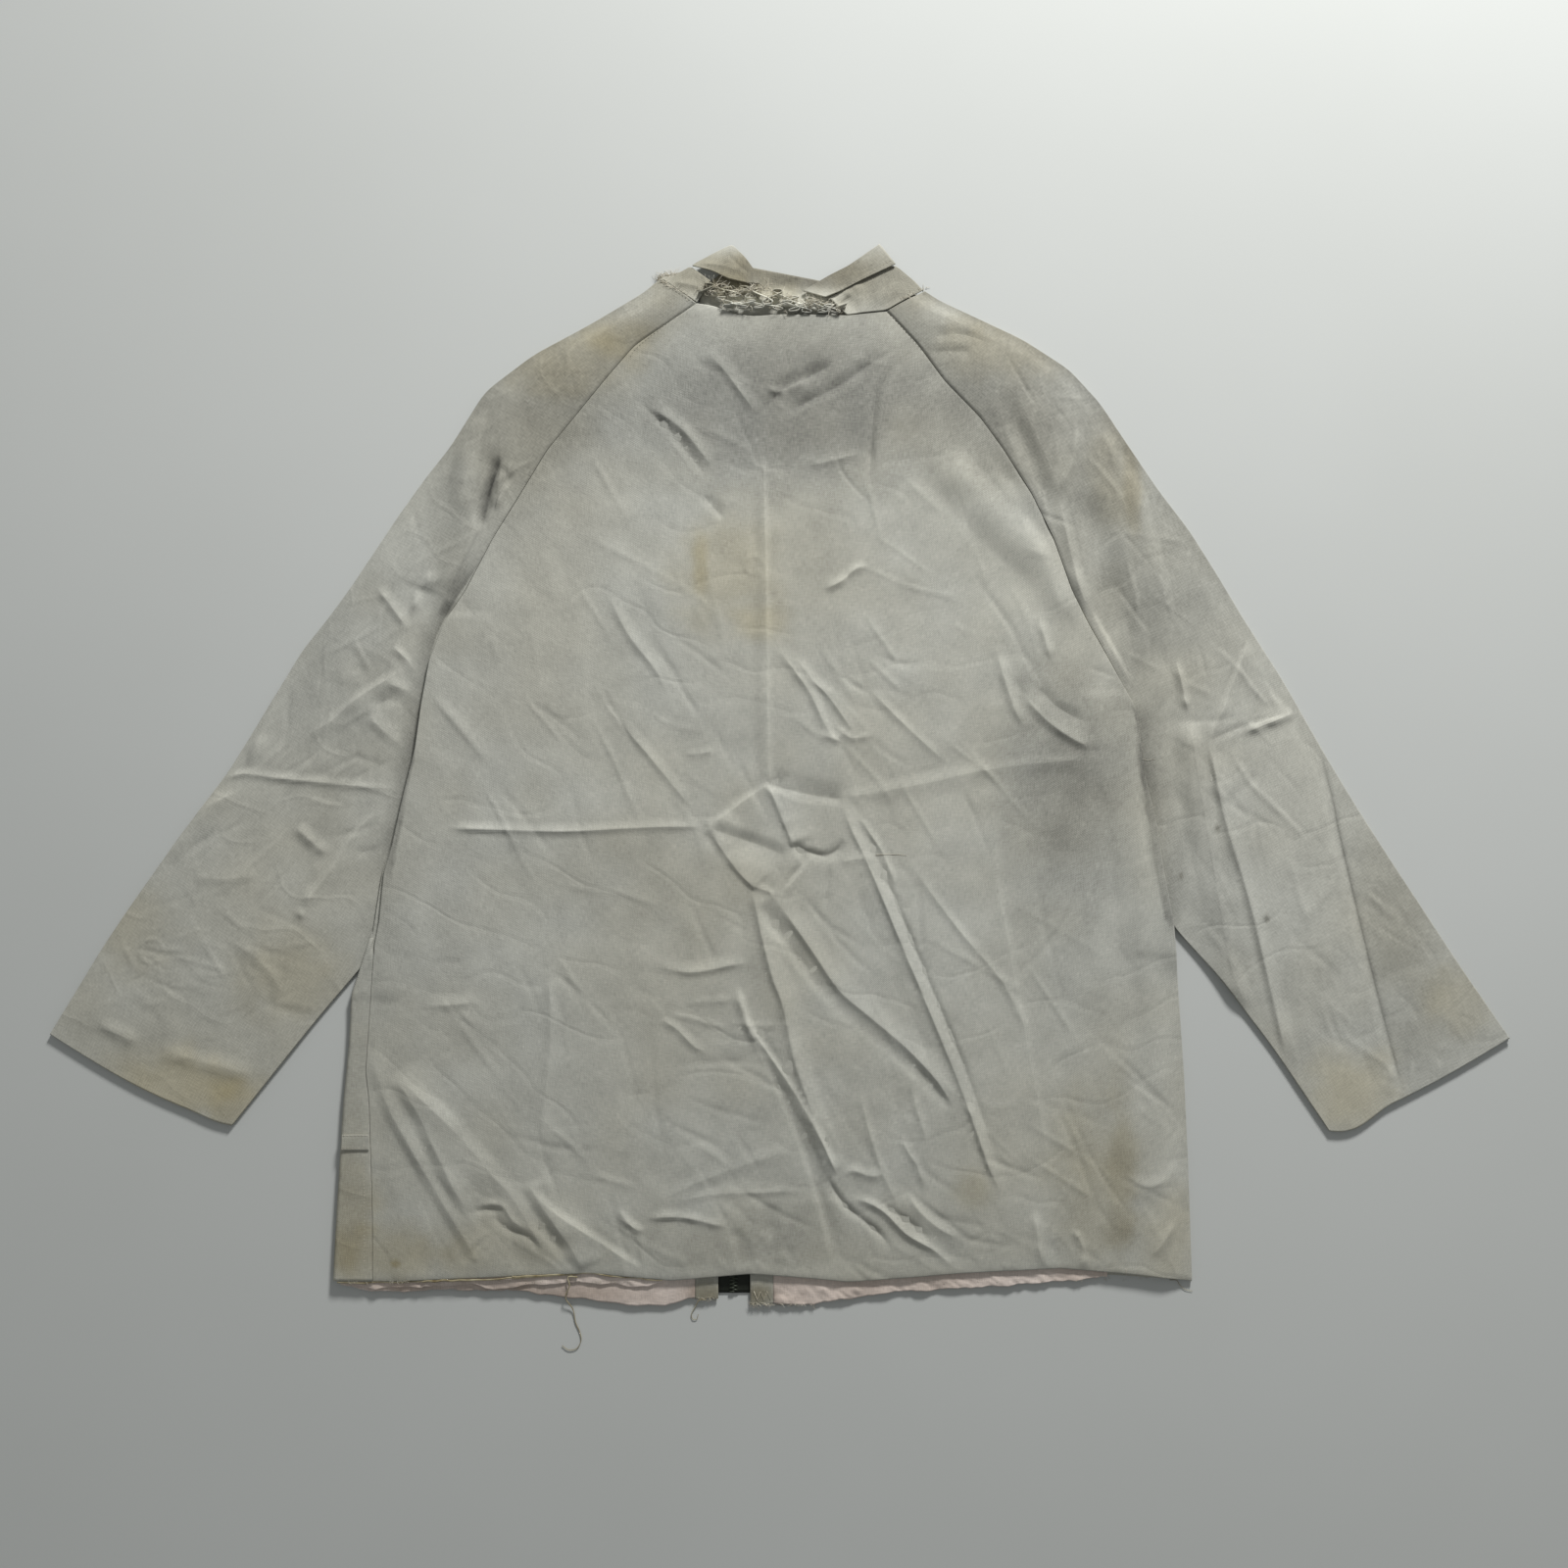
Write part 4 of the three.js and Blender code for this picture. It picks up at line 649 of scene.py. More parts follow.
def tubes(name, paths, radii, material, sides=4):
    """Threads as one mesh: each path is a line of points, and gets thinner to its end."""
    points, faces = [], []
    for path, radius in zip(paths, radii):
        path = np.asarray(path, float)
        along = np.gradient(path, axis=0)
        along /= np.maximum(np.linalg.norm(along, axis=1, keepdims=True), 1e-9)
        beside_it = np.cross(along, [0.0, 0.0, 1.0])
        beside_it /= np.maximum(np.linalg.norm(beside_it, axis=1, keepdims=True), 1e-6)
        up = np.cross(beside_it, along)
        first = len(points)
        for i, centre in enumerate(path):
            r = radius * (1 - TAPER * i / (len(path) - 1))
            for k in range(sides):
                turn = 2 * math.pi * (k + 0.5) / sides
                points.append(centre + r * (math.cos(turn) * beside_it[i]
                                            + math.sin(turn) * up[i]))
        for i in range(len(path) - 1):
            for k in range(sides):
                a, b = first + i * sides + k, first + i * sides + (k + 1) % sides
                faces.append([a, b, b + sides, a + sides])
        faces.append([first + k for k in range(sides)][::-1])
        faces.append([first + (len(path) - 1) * sides + k for k in range(sides)])
    return mesh_piece(name, np.array(points), faces, material)


def thread_piece(piece):
    """Returns the piece as it is."""
    return piece


def hairs(name, roots, heading, long, seed, radius, curl, rise):
    """Frayed ends: a thin curling strand from each root. heading is the mean direction in
    degrees, and long the mean length."""
    chance = np.random.default_rng(seed)
    paths = []
    for root in roots:
        length = long * chance.uniform(0.4, 1.5)
        turn = math.radians(heading + chance.normal(0, 38))
        bend = chance.normal(0, 0.55) * curl
        lift = chance.uniform(-0.3, 1.0) * rise
        steps = 6
        path = [np.array(root, float)]
        for i in range(steps):
            turn += bend * (0.6 + 0.5 * math.sin(i * 1.7 + bend * 9))
            step = np.array([math.cos(turn), math.sin(turn), 0.0]) * length / steps
            step[2] = lift * length / steps * math.cos(i * 0.9)
            nxt = path[-1] + step
            nxt[2] = max(nxt[2], 0.3)
            path.append(nxt)
        paths.append(path)
    return thread_piece(tubes(name, paths, [radius] * len(paths), "pale_thread", sides=3))


def stitches(name, lines, material, pitch=2.6, length=1.7, width=0.34):
    """Lines of sewing: short threads that lie in a row. Each line is a function of the share of
    its length, which gives a point, and its length."""
    points, faces = [], []
    for line, total in lines:
        count = int(total / pitch)
        for k in range(count):
            a = line((k + 0.5 - 0.5 * length / pitch) / count)
            b = line((k + 0.5 + 0.5 * length / pitch) / count)
            along = (b - a) / np.linalg.norm(b - a)
            wide = np.cross(along, [0.0, 0.0, 1.0]) * width / 2
            up = np.array([0.0, 0.0, width * 0.55])
            middle = (a + b) / 2
            first = len(points)
            points += [a - up, middle + wide - up, b - up, middle - wide - up,
                       lerp(a, b, 0.25) + up, lerp(a, b, 0.75) + up]
            faces += [[first, first + 1, first + 4], [first + 1, first + 2, first + 5],
                      [first + 1, first + 5, first + 4], [first + 2, first + 3, first + 5],
                      [first + 3, first, first + 4], [first + 3, first + 4, first + 5],
                      [first, first + 3, first + 2], [first, first + 2, first + 1]]
    return thread_piece(mesh_piece(name, np.array(points), faces, material))


# Stains and painted light and shade: x and y of the middle, half the width, half the height, how
# much yellower the stain makes the cloth, and how much lighter the cloth is painted there. The
# lightness is partly stains and partly painted shade (darker at the yoke, the collar, the
# shoulders, in the hollows beside the body's edges and at the linings under the hem) and painted
# light (lighter at the torn edge at the neck and at the cuffs).
PAINTED_LIGHT_AND_STAINS = [
    (-40, 165, 40, 48, 0.34, 0.05), (-15, 128, 24, 16, 0.28, 0.05), (-58, 172, 7, 24, 0.4, 0.0),
    (-155, 318, 55, 24, 0.42, -0.02), (-112, 335, 30, 16, 0.3, 0.0), (165, 330, 70, 26, 0.35, 0.0),
    (248, 245, 22, 55, 0.3, -0.04), (-440, -208, 60, 30, 0.5, 0.16),
    (-405, -228, 26, 22, 0.35, -0.02), (-470, -95, 36, 36, 0.25, -0.02),
    (-360, -130, 44, 40, 0.3, -0.03), (418, -215, 40, 34, 0.45, 0.18),
    (500, -150, 36, 30, 0.35, -0.02), (-285, -335, 60, 22, 0.55, -0.04),
    (-318, -300, 24, 50, 0.4, -0.02), (-200, -330, 60, 30, 0.25, 0.0),
    (232, -290, 34, 80, 0.3, -0.08), (250, -280, 12, 90, 0.22, -0.1),
    (280, -325, 26, 40, 0.35, 0.02), (142, -286, 16, 16, 0.3, 0.02), (-281, -340, 4, 3, 0.8, -0.2),
    (0, -320, 120, 30, 0.0, -0.06), (208, 10, 56, 90, 0.0, -0.31), (190, 90, 45, 40, 0.0, -0.08),
    (320, 20, 30, 150, 0.0, -0.04), (356, -88, 2.5, 3.5, 0.2, -0.5),
    (320, -22, 2.5, 3.0, 0.2, -0.4), (294, -57, 2.0, 2.5, 0.2, -0.35),
    (-60, 382, 40, 20, 0.45, -0.27), (80, 380, 60, 24, 0.25, -0.33), (5, 387, 52, 19, 0.45, -0.52),
    (-5, 365, 60, 10, 0.0, 0.55), (0, 292, 160, 72, 0.0, -0.46), (222, 200, 16, 44, 0.0, -0.14),
    (236, 150, 16, 44, 0.0, -0.15), (256, 96, 14, 34, 0.0, -0.18), (272, 50, 11, 40, 0.0, -0.2),
    (280, 0, 11, 40, 0.0, -0.2), (290, -52, 10, 40, 0.0, -0.18), (258, 225, 7, 44, 0.25, -0.06),
    (455, -100, 34, 90, 0.05, -0.13), (235, 20, 45, 30, 0.0, -0.08),
    (-243, 190, 16, 70, 0.05, -0.16), (0, -318, 30, 26, 0.0, -0.08),
    (-34, -366, 40, 12, 0.4, -0.25), (-190, -364, 110, 10, 0.3, -0.2),
    (-60, -330, 90, 24, 0.1, -0.08), (-100, -60, 90, 40, 0.05, -0.05),
    (0, 200, 60, 120, 0.0, -0.04), (-190, 280, 70, 90, 0.05, -0.29), (200, 285, 85, 90, 0.0, -0.34),
    (-320, 70, 50, 110, 0.0, -0.1), (300, 120, 50, 60, 0.0, -0.08),
    (220, -120, 60, 120, 0.0, -0.06), (-290, -150, 26, 160, 0.05, -0.07),
    (285, 185, 55, 80, 0.0, -0.22), (-108, 356, 44, 22, 0.2, -0.2), (132, 352, 44, 22, 0.15, -0.14),
    (-316, -250, 14, 130, 0.05, -0.1), (-14, -364, 12, 12, 0.3, -0.22),
    (-55, -362, 12, 12, 0.3, -0.2),
]


# Painted shade: bands along a line, as creases whose rise is how much lighter the cloth is painted. All
# are darker: in the hollows beside the body's edges and along folds of the right sleeve, the left
# shoulder and the back.
PAINTED_SHADE_LINES = [
    crease(-0.42, 13, 1.0, (258, 72), (261, 50), (263, 28), (268, -10), (273, -45), (279, -75),
           (286, -100), sharp=1.0, power=1.0, ends=0.08),
    crease(-0.04, 70, 1.5, (394, 40), (405, 0), (411, -30), (425, -90), (441, -155), (459, -221),
           sharp=1.0, power=0.7, ends=0.06),
    crease(-0.3, 3, 2, (395, 38), (405, 0), (411, -30), (425, -90), (441, -155), (456, -212),
           sharp=1.0, power=1.0, ends=0.1),
    crease(-0.12, 15, 2, (298, 60), (303, 30), (308, 0), (318, -60), (330, -125), (344, -158),
           sharp=1.0, power=0.8, ends=0.1),
    crease(-0.2, 1.5, 6, (313, 43), (325, -15), (340, -65), (355, -125), (371, -192),
           sharp=1.0, power=1.0, ends=0.1),
    crease(-0.45, 2.5, 7, (-203, 252), (-210, 232), (-215, 212), (-218, 197), sharp=1.0,
           power=1.0, ends=0.2),
    crease(-0.14, 1.0, 17, (-20, -67), (-14, -98), (-6, -130), (2, -152), (11, -194), (27, -240),
           (42, -276), sharp=1.0, power=0.7, ends=0.12),
    crease(-0.36, 1.0, 14, (-206, 194), (-230, 157), (-247, 130), (-255, 110), (-260, 88),
           (-264, 60), (-269, 25), (-275, -5), (-281, -40), (-289, -75), sharp=1.0, power=1.0,
           ends=0.12),
]


def stains_and_painted_light(x, y):
    """How yellow the stains make the cloth at each point, and how much lighter it is, with painted light
    and shade in the lightness.
    """
    ragged = 0.35 * noise(x, y, 21, 31) + 0.22 * noise(x, y, 9, 32)
    stain = 0.1 + 0.12 * noise(x, y, 90, 33) + 0.07 * noise(x, y, 30, 34)
    tone_and_painted_light = 0.03 * noise(x, y, 110, 35) + 0.015 * noise(x, y, 40, 36)
    for middle_x, middle_y, half_x, half_y, yellower, lighter in PAINTED_LIGHT_AND_STAINS:
        away = np.hypot((x - middle_x) / half_x, (y - middle_y) / half_y)
        stain = stain + yellower * ramp(1.35, 0.25, away + ragged * 0.6)
        tone_and_painted_light = tone_and_painted_light + lighter * ramp(1.35, 0.25, away)
    # Painted light and shade on the narrow creases: crests are painted lighter, valleys darker.
    for creases in (BACK_CREASES, LEFT_SLEEVE_CREASES, RIGHT_SLEEVE_CREASES):
        narrow = [fold for fold in creases
                  if min(fold["left"], fold["right"]) <= 6 and abs(fold["rise"]) >= 0.8]
        tone_and_painted_light = tone_and_painted_light + CREST_PAINTED_LIGHT * creases_at(narrow, x, y)
    # Painted shade in bands along lines.
    tone_and_painted_light = tone_and_painted_light + creases_at(PAINTED_SHADE_LINES, x, y)
    return np.clip(stain, 0, 1), np.clip(tone_and_painted_light, -0.8, 0.5)


def linear(red, green, blue):
    """A colour as seen on a screen, 0 to 255, for a shader."""
    value = np.array([red, green, blue]) / 255
    return tuple(np.where(value <= 0.04045, value / 12.92, ((value + 0.055) / 1.055) ** 2.4))


class Surface:
    """The upper side of some pieces, to lay sewing and threads on."""

    def __init__(self, *pieces):
        points, faces = [], []
        for piece in pieces:
            first = len(points)
            points += [v.co.copy() for v in piece.data.vertices]
            faces += [[first + i for i in face.vertices] for face in piece.data.polygons]
        self.tree = BVHTree.FromPolygons(points, faces)

    def height(self, x, y):
        hit = self.tree.ray_cast(Vector((x * MM, y * MM, 0.1)), Vector((0, 0, -1)))[0]
        return hit.z / MM if hit else 0.0

    def line(self, points, lift, step=1.2):
        """A path of (x, y) laid on the surface, lift above it."""
        laid = [(x, y, self.height(x, y)) for x, y in smooth_path(points, step)]
        return [(x, y, z + lift) for x, y, z in laid if z > 0]


class Nodes:
    """Short words for making the nodes of one material."""

    def __init__(self, name, roughness, sheen=0.0, specular=0.3):
        self.material = bpy.data.materials.new(name)
        self.material.use_nodes = True
        self.tree = self.material.node_tree
        self.shader = self.tree.nodes["Principled BSDF"]
        self.shader.inputs["Roughness"].default_value = roughness
        self.shader.inputs["Specular IOR Level"].default_value = specular
        self.shader.inputs["Sheen Weight"].default_value = sheen
        self.shader.inputs["Sheen Roughness"].default_value = 0.5

    def add(self, kind, settings=None, **inputs):
        node = self.tree.nodes.new(f"ShaderNode{kind}")
        for key, value in (settings or {}).items():
            setattr(node, key, value)
        for key, value in inputs.items():
            socket = node.inputs[int(key[1:]) if key[0] == "i" and key[1:].isdigit() else
                                 key.replace("_", " ")]
            if isinstance(value, bpy.types.NodeSocket):
                self.tree.links.new(value, socket)
            else:
                socket.default_value = value
        return node

    def math(self, operation, a, b=0.0, c=0.0):
        return self.add("Math", {"operation": operation}, i0=a, i1=b, i2=c).outputs[0]

    def mix(self, share, a, b):
        """Mixes two colours."""
        node = self.add("Mix", {"data_type": "RGBA"})
        for index, value in ((0, share), (6, a), (7, b)):
            if isinstance(value, bpy.types.NodeSocket):
                self.tree.links.new(value, node.inputs[index])
            else:
                node.inputs[index].default_value = value if index == 0 else (*value, 1)
        return node.outputs[2]

    def attribute(self, name):
        return self.add("Attribute", {"attribute_name": name}).outputs["Fac"]

    def place(self):
        return self.add("TexCoord").outputs["Object"]

    def spread(self, value, amount, middle=0.0):
        """A noise made amount times as strong, about a new middle."""
        return self.math("MULTIPLY_ADD", self.math("SUBTRACT", value, 0.5), amount, middle)

    def noise(self, vector, scale, detail=2.0, stretch=(1, 1, 1)):
        moved = self.add("Mapping", None, Vector=vector, Scale=stretch)
        return self.add("TexNoise", None, Vector=moved.outputs[0], Scale=scale,
                        Detail=detail).outputs["Fac"]

    def finish(self, colour, height=None, strength=0.3, distance=0.0003):
        self.tree.links.new(colour, self.shader.inputs["Base Color"])
        if height is not None:
            bump = self.add("Bump", None, Height=height, Strength=strength, Distance=distance)
            self.tree.links.new(bump.outputs[0], self.shader.inputs["Normal"])
        return self.material


def woven(nodes, vector, pitch):
    """Height of a plain weave of threads that are pitch metres apart."""
    split = nodes.add("SeparateXYZ", None, Vector=vector)
    per_metre = math.pi / pitch
    across = nodes.math("SINE", nodes.math("MULTIPLY", split.outputs[0], per_metre))
    along = nodes.math("SINE", nodes.math("MULTIPLY", split.outputs[1], per_metre))
    return nodes.math("MULTIPLY_ADD", nodes.math("MULTIPLY", across, along), 0.5, 0.5)


def cloth_material(name, colour, stained, pitch=0.0007, roughness=0.82, sheen=0.12):
    nodes = Nodes(name, roughness, sheen)
    weave = nodes.add("UVMap", {"uv_map": "weave"}).outputs[0]
    threads = woven(nodes, weave, pitch)
    slubs_along = nodes.noise(weave, 1500, 2.0, (1.0, 0.12, 1.0))
    slubs_across = nodes.noise(weave, 1500, 2.0, (0.12, 1.0, 1.0))
    cloudy = nodes.noise(weave, 40, 8.0)
    base = nodes.mix(nodes.attribute("stain"), colour, stained)
    grain = 0.0
    for value, amount in ((slubs_along, 0.5), (slubs_across, 0.5), (cloudy, 0.42), (threads, 0.10)):
        grain = nodes.spread(value, amount, grain)
    # The tone attribute brings painted light and shade into the colour here.
    light = nodes.math("ADD", nodes.math("ADD", grain, nodes.attribute("tone_and_painted_light")), 1.0)
    tinted = nodes.add("VectorMath", {"operation": "SCALE"}, Vector=base, Scale=light).outputs[0]
    height = nodes.math("MULTIPLY_ADD", slubs_along, 0.8, threads)
    height = nodes.math("MULTIPLY_ADD", slubs_across, 0.8, height)
    for scale, stretch in ((9.0, (1.0, 0.5, 1.0)), (17.0, (0.6, 1.0, 1.0))):
        bent = nodes.noise(weave, scale, 1.5, stretch)
        valley = nodes.math("ABSOLUTE", nodes.spread(bent, 60.0))
        height = nodes.math("ADD", height, nodes.math("MINIMUM", valley, 2.0))
    return nodes.finish(tinted, height, 0.35, 0.00025)


def thread_material(name, pale, dark):
    nodes = Nodes(name, 0.85, 0.2)
    place = nodes.place()
    patches = nodes.noise(place, 140, 3.0)
    twist = nodes.noise(place, 2600, 1.0)
    colour = nodes.mix(nodes.spread(patches, 2.2, 0.5), pale, dark)
    return nodes.finish(colour, twist, 0.4, 0.0002)


def zip_material():
    nodes = Nodes("zip", 0.6)
    place = nodes.place()
    split = nodes.add("SeparateXYZ", None, Vector=place)
    ribs = nodes.math("SINE", nodes.math("MULTIPLY", split.outputs[1], math.pi / 0.0006))
    worn = nodes.noise(place, 400, 3.0)
    colour = nodes.mix(worn, linear(16, 19, 13), linear(40, 44, 34))
    return nodes.finish(colour, ribs, 0.3, 0.0002)


def tooth_material():
    nodes = Nodes("zip_tooth", 0.42, specular=0.5)
    nodes.shader.inputs["Metallic"].default_value = 0.35
    place = nodes.place()
    worn = nodes.noise(place, 700, 3.0)
    colour = nodes.mix(worn, linear(24, 29, 21), linear(66, 72, 58))
    return nodes.finish(colour, worn, 0.2, 0.0001)


def floor_material():
    nodes = Nodes("floor", 0.9)
    place = nodes.place()
    colour = nodes.mix(nodes.noise(place, 3, 4.0), linear(188, 190, 186), linear(196, 198, 195))
    return nodes.finish(colour, nodes.noise(place, 900, 2.0), 0.1, 0.0002)


MATERIALS = {
    "cloth": cloth_material("cloth", linear(175, 175, 166), linear(160, 151, 122)),
    "lining": cloth_material("lining", linear(214, 201, 191), linear(160, 134, 108), 0.0005, 0.6,
                             0.25),
    "thread": thread_material("thread", linear(176, 168, 140), linear(112, 98, 66)),
    "pale_thread": thread_material("pale_thread", linear(218, 212, 196), linear(168, 160, 138)),
    "dark_thread": thread_material("dark_thread", linear(80, 76, 62), linear(52, 48, 38)),
    "zip_tape": zip_material(),
    "zip_tooth": tooth_material(),
    "floor": floor_material(),
}


def back_grid():
    """Points of the outer face of the back, from its left edge to its right one."""
    length, width = 716, 560
    left_top, right_top = 362.0, 356
    v = spaced(whole(330, 4), length)[:, None]
    u = spaced(whole(258, 4), width)[None, :]
    y_left = lerp(left_top, HEM, v)
    y_right = np.minimum(y_left, right_top)
    x = lerp(left_seam(y_left), right_edge(y_right), u)
    neck = (back_neck(x) - lerp(left_top, right_top, u)) * ramp(250, left_top, y_left)
    hem = (back_hem(x) - HEM) * ramp(HEM_SPREAD, HEM, y_left)
    y = lerp(y_left, y_right, u) + neck + hem
    inset = np.minimum(x - left_seam(y), right_edge(y) - x)
    inset = np.minimum(inset, np.minimum(y - back_hem(x), back_neck(x) - y))
    x, y = drawn_in(BACK_CREASES, x, y, ramp(3, 12, inset))
    z = back_top(x, y)
    groove = ramp(1.6, 0, np.minimum(x - left_seam(y), right_edge(y) - x))
    hem_roll = ramp(1.8, 0, y - back_hem(x))
    z -= 0.2 * groove * ramp(60, 90, y) + 0.5 * hem_roll
    return np.stack([x, y, z], axis=2)


def front_y(x, y, hem):
    """Moves rows of a front so that they follow the line of the neck and a hem."""
    neck = (front_neck(x) - FRONT_TOP) * ramp(230, FRONT_TOP, y)
    return y + neck + (hem(x) - HEM) * ramp(HEM_SPREAD, HEM, y)


def left_front():
    """The left front lies below and wraps over the fold at the side, up to the side seam."""
    rows, flat_columns, wrap_columns = 281, 70, 44
    half = CLOTH / 2
    grid = np.zeros((rows, flat_columns + wrap_columns, 3))
    for r, y in enumerate(np.linspace(FRONT_TOP, HEM, rows)):
        wrapped = ramp(-86, -118, y)
        turn = math.pi * wrapped
        side = left_seam(y) if y >= 128 else left_fold(y)
        low = front_floor(side, y) + half
        high = max(BACK_FLOOR, front_floor(side, y) + CLOTH + SEAM_GAP) + half
        radius = (high - low) / 2
        stub = 0.8 * (1 - wrapped)
        bend_x = side + stub + (radius + half) * min(1, wrapped * 2)
        lie = max(0, left_seam(y) - SEAM_GAP - bend_x) * wrapped
        u = 1 - (1 - np.linspace(0, 1, flat_columns)) ** 1.6
        x = lerp(ZIP_LEFT - SEAM_GAP, bend_x, u)
        dents = front_dents(x, y + 0 * x, side)
        grid[r, :flat_columns] = np.stack(
            [x, front_y(x, y, front_hem), front_floor(x, y) + CLOTH + dents], axis=1)
        arc = radius * turn
        s = (arc + lie + stub) * np.arange(1, wrap_columns + 1) / wrap_columns
        angle = np.minimum(s / radius, turn) if arc > 0 else np.zeros(wrap_columns)
        rest = np.maximum(0, s - arc)
        bend = radius if arc > 0 else 0
        x = bend_x - np.sin(angle) * bend - np.cos(angle) * rest
        z = low + (1 - np.cos(angle)) * bend - np.sin(angle) * rest
        z += 0.35 * noise(x, y + 0 * x, 34, 21) * ramp(0, 8, rest)
        py = np.where(angle > math.pi / 2, front_y(x, y, back_hem), front_y(x, y, front_hem))
        grid[r, flat_columns:] = np.stack(
            [x + np.sin(angle) * half, py, z + np.cos(angle) * half], axis=1)
    return shell("cloth_front_left", grid, CLOTH)


# Creases of the fronts, which are hidden and guessed
FRONT_CREASES = [
    crease(1.6, 9, 12, (-60, 180), (-120, 120), (-190, 90), (-240, 96)),
    crease(1.4, 8, 10, (-70, 20), (-140, -10), (-220, -6), (-262, 8)),
    crease(1.6, 8, 12, (-60, -60), (-120, -140), (-180, -250), (-214, -330)),
    crease(1.2, 7, 9, (-80, -180), (-150, -210), (-250, -190)),
    crease(1.3, 7, 9, (-90, 280), (-120, 220), (-170, 180)),
    crease(1.6, 9, 12, (10, 200), (70, 140), (140, 110), (205, 118)),
    crease(1.4, 8, 10, (0, 40), (80, 12), (170, 22), (240, 4)),
    crease(1.6, 8, 12, (20, -60), (80, -150), (150, -260), (170, -340)),
    crease(1.2, 7, 9, (60, -190), (140, -200), (250, -240)),
    crease(1.3, 7, 9, (20, 290), (80, 230), (120, 190)),
]


def front_dents(x, y, side):
    """Creases of the fronts, which press up from the surface that they lie on."""
    soft = 0.5 + 0.5 * noise(x, y, 60, 22)
    clear = ramp(4, 40, np.abs(x - side)) * ramp(2, 30, np.abs(x - ZIP_MIDDLE))
    clear = clear * ramp(HEM + 4, HEM + 60, y)
    return (np.maximum(0, creases_at(FRONT_CREASES, x, y)) + 0.4 * soft) * clear


def right_front():
    rows, columns = 281, 111
    y = np.linspace(FRONT_TOP, HEM, rows)[:, None]
    u = spaced(columns, 300)[None, :]
    x = lerp(ZIP_RIGHT + SEAM_GAP, right_edge(y), u)
    py = front_y(x, y, front_hem)
    z = front_floor(x, py) + CLOTH + front_dents(x, py, right_edge(py))
    return shell("cloth_front_right", np.stack([x, py, z], axis=2), CLOTH)


def section_at(sections, v):
    """The columns of a table of sections at v, from 0 at its start to 1 at its end."""
    rows = len(sections) - 1
    grain = 60
    readers = [edge(*[(k * grain, row[c]) for k, row in enumerate(sections)], rounding=45)
               for c in range(len(sections[0]))]
    return [reader(np.asarray(v) * rows * grain) for reader in readers]


def sleeve_grid(which, rows, columns, length=720, width=180):
    part = SIDES[which]
    side, sections = part["side"], part["sections"]
    v = spaced(rows, length)[:, None]
    u = spaced(columns, width)[None, :]
    ix, iy, ox, oy, reach = (a + 0 * u for a in section_at(sections, v))
    on_seam = iy > part["dive"][1] - 2
    inner = np.where(on_seam, part["seam"](iy) + side * SEAM_GAP * 1.2, ix)
    depth, corner, share = part["cuff"]
    bulge = -depth * np.sin(math.pi * u) - corner * ramp(share, 0, u) * np.sin(math.pi * u)
    x = lerp(inner, ox, u)
    y = lerp(iy, oy, u) + bulge * ramp(0.93, 1, v)
    return x, y, u + 0 * v, v + 0 * u, np.hypot(ox - ix, oy - iy), iy, reach


def sleeve_back(which):
    part = SIDES[which]
    side = part["side"]
    x, y, u, v, width, iy, reach = sleeve_grid(which, whole(340, 4), whole(92, 4))
    from_seam, from_free = u * width, (1 - u) * width
    rim = np.minimum(np.minimum(from_seam, from_free), (1 - v) * 700)
    x, y = drawn_in(part["creases"], x, y, ramp(3, 12, rim))
    slope = lerp(60, 4, ramp(*part["pleat"], y))
    high = ramp(part["dive"][1], part["dive"][0], iy) * ramp(1, 0, (from_seam - reach) / slope)
    outside = side * (x - part["edge"](y))
    clear = np.maximum(ramp(part["dive"][0], part["dive"][0] + 16, y), ramp(2, 36, outside))
    free = ramp(0, 14, from_free) * ramp(0, 0.04, 1 - v)
    puff = SLEEVE_PUFF * np.sin(math.pi * np.minimum(1, u * 1.02)) ** 0.7 * free
    soft = 0.5 * noise(x, y, 60, 11) + 0.25 * noise(x, y, 27, 12) + 0.1 * noise(x, y, 12, 13)
    folds = (creases_at(part["creases"], x, y) + soft) * (0.35 + 0.65 * free)
    raised = high * (BACK_FLOOR - SLEEVE_BACK_FLOOR + CLOTH - SLEEVE_CLOTH)
    lift = raised + clear * (puff + folds)
    z = SLEEVE_BACK_FLOOR + SLEEVE_CLOTH + 0.5 * (lift + np.sqrt(lift**2 + 0.2 * clear))
    z -= 0.45 * ramp(1.6, 0, from_seam) * ramp(part["dive"][1], part["dive"][0], iy)
    return shell(f"cloth_sleeve_{which}_back", np.stack([x, y, z], axis=2), SHOWN_CLOTH, every=4)


def sleeve_front(which):
    x, y, u, v, *_ = sleeve_grid(which, 201, 61)
    arch = np.sin(math.pi * u) * np.sin(math.pi * v)
    z = SLEEVE_CLOTH + (0.5 + 0.5 * noise(x, y, 38, 14)) * 1.1 * arch
    return shell(f"cloth_sleeve_{which}_front", np.stack([x, y, z], axis=2), SLEEVE_CLOTH)


def hem_strip(name, start, end, hem, floor, material, crumple, seed):
    """A strip of cloth that shows at the hem, between the panels."""
    columns = whole(max(12, abs(end - start) / 1.3), 2)
    u = np.linspace(0, 1, columns)[None, :]
    v = np.linspace(0, 1, 31)[:, None]
    x = lerp(start, end, u) + 0 * v
    ragged = 0.9 * noise(x, 0 * x, 11, seed) + 0.4 * noise(x, 0 * x, 4, seed + 1)
    y = lerp(HEM_HIDDEN_TOP, hem(x) + ragged, v)
    shows = ramp(0.45, 0.9, v)
    rumpled = noise(x, y, 8, seed) + 0.6 * noise(x + 0.8 * y, y, 4, seed + 2)
    z = floor + LINING_CLOTH + crumple * rumpled * shows
    return shell(name, np.stack([x, y, z], axis=2), SHOWN_STRIP, material)


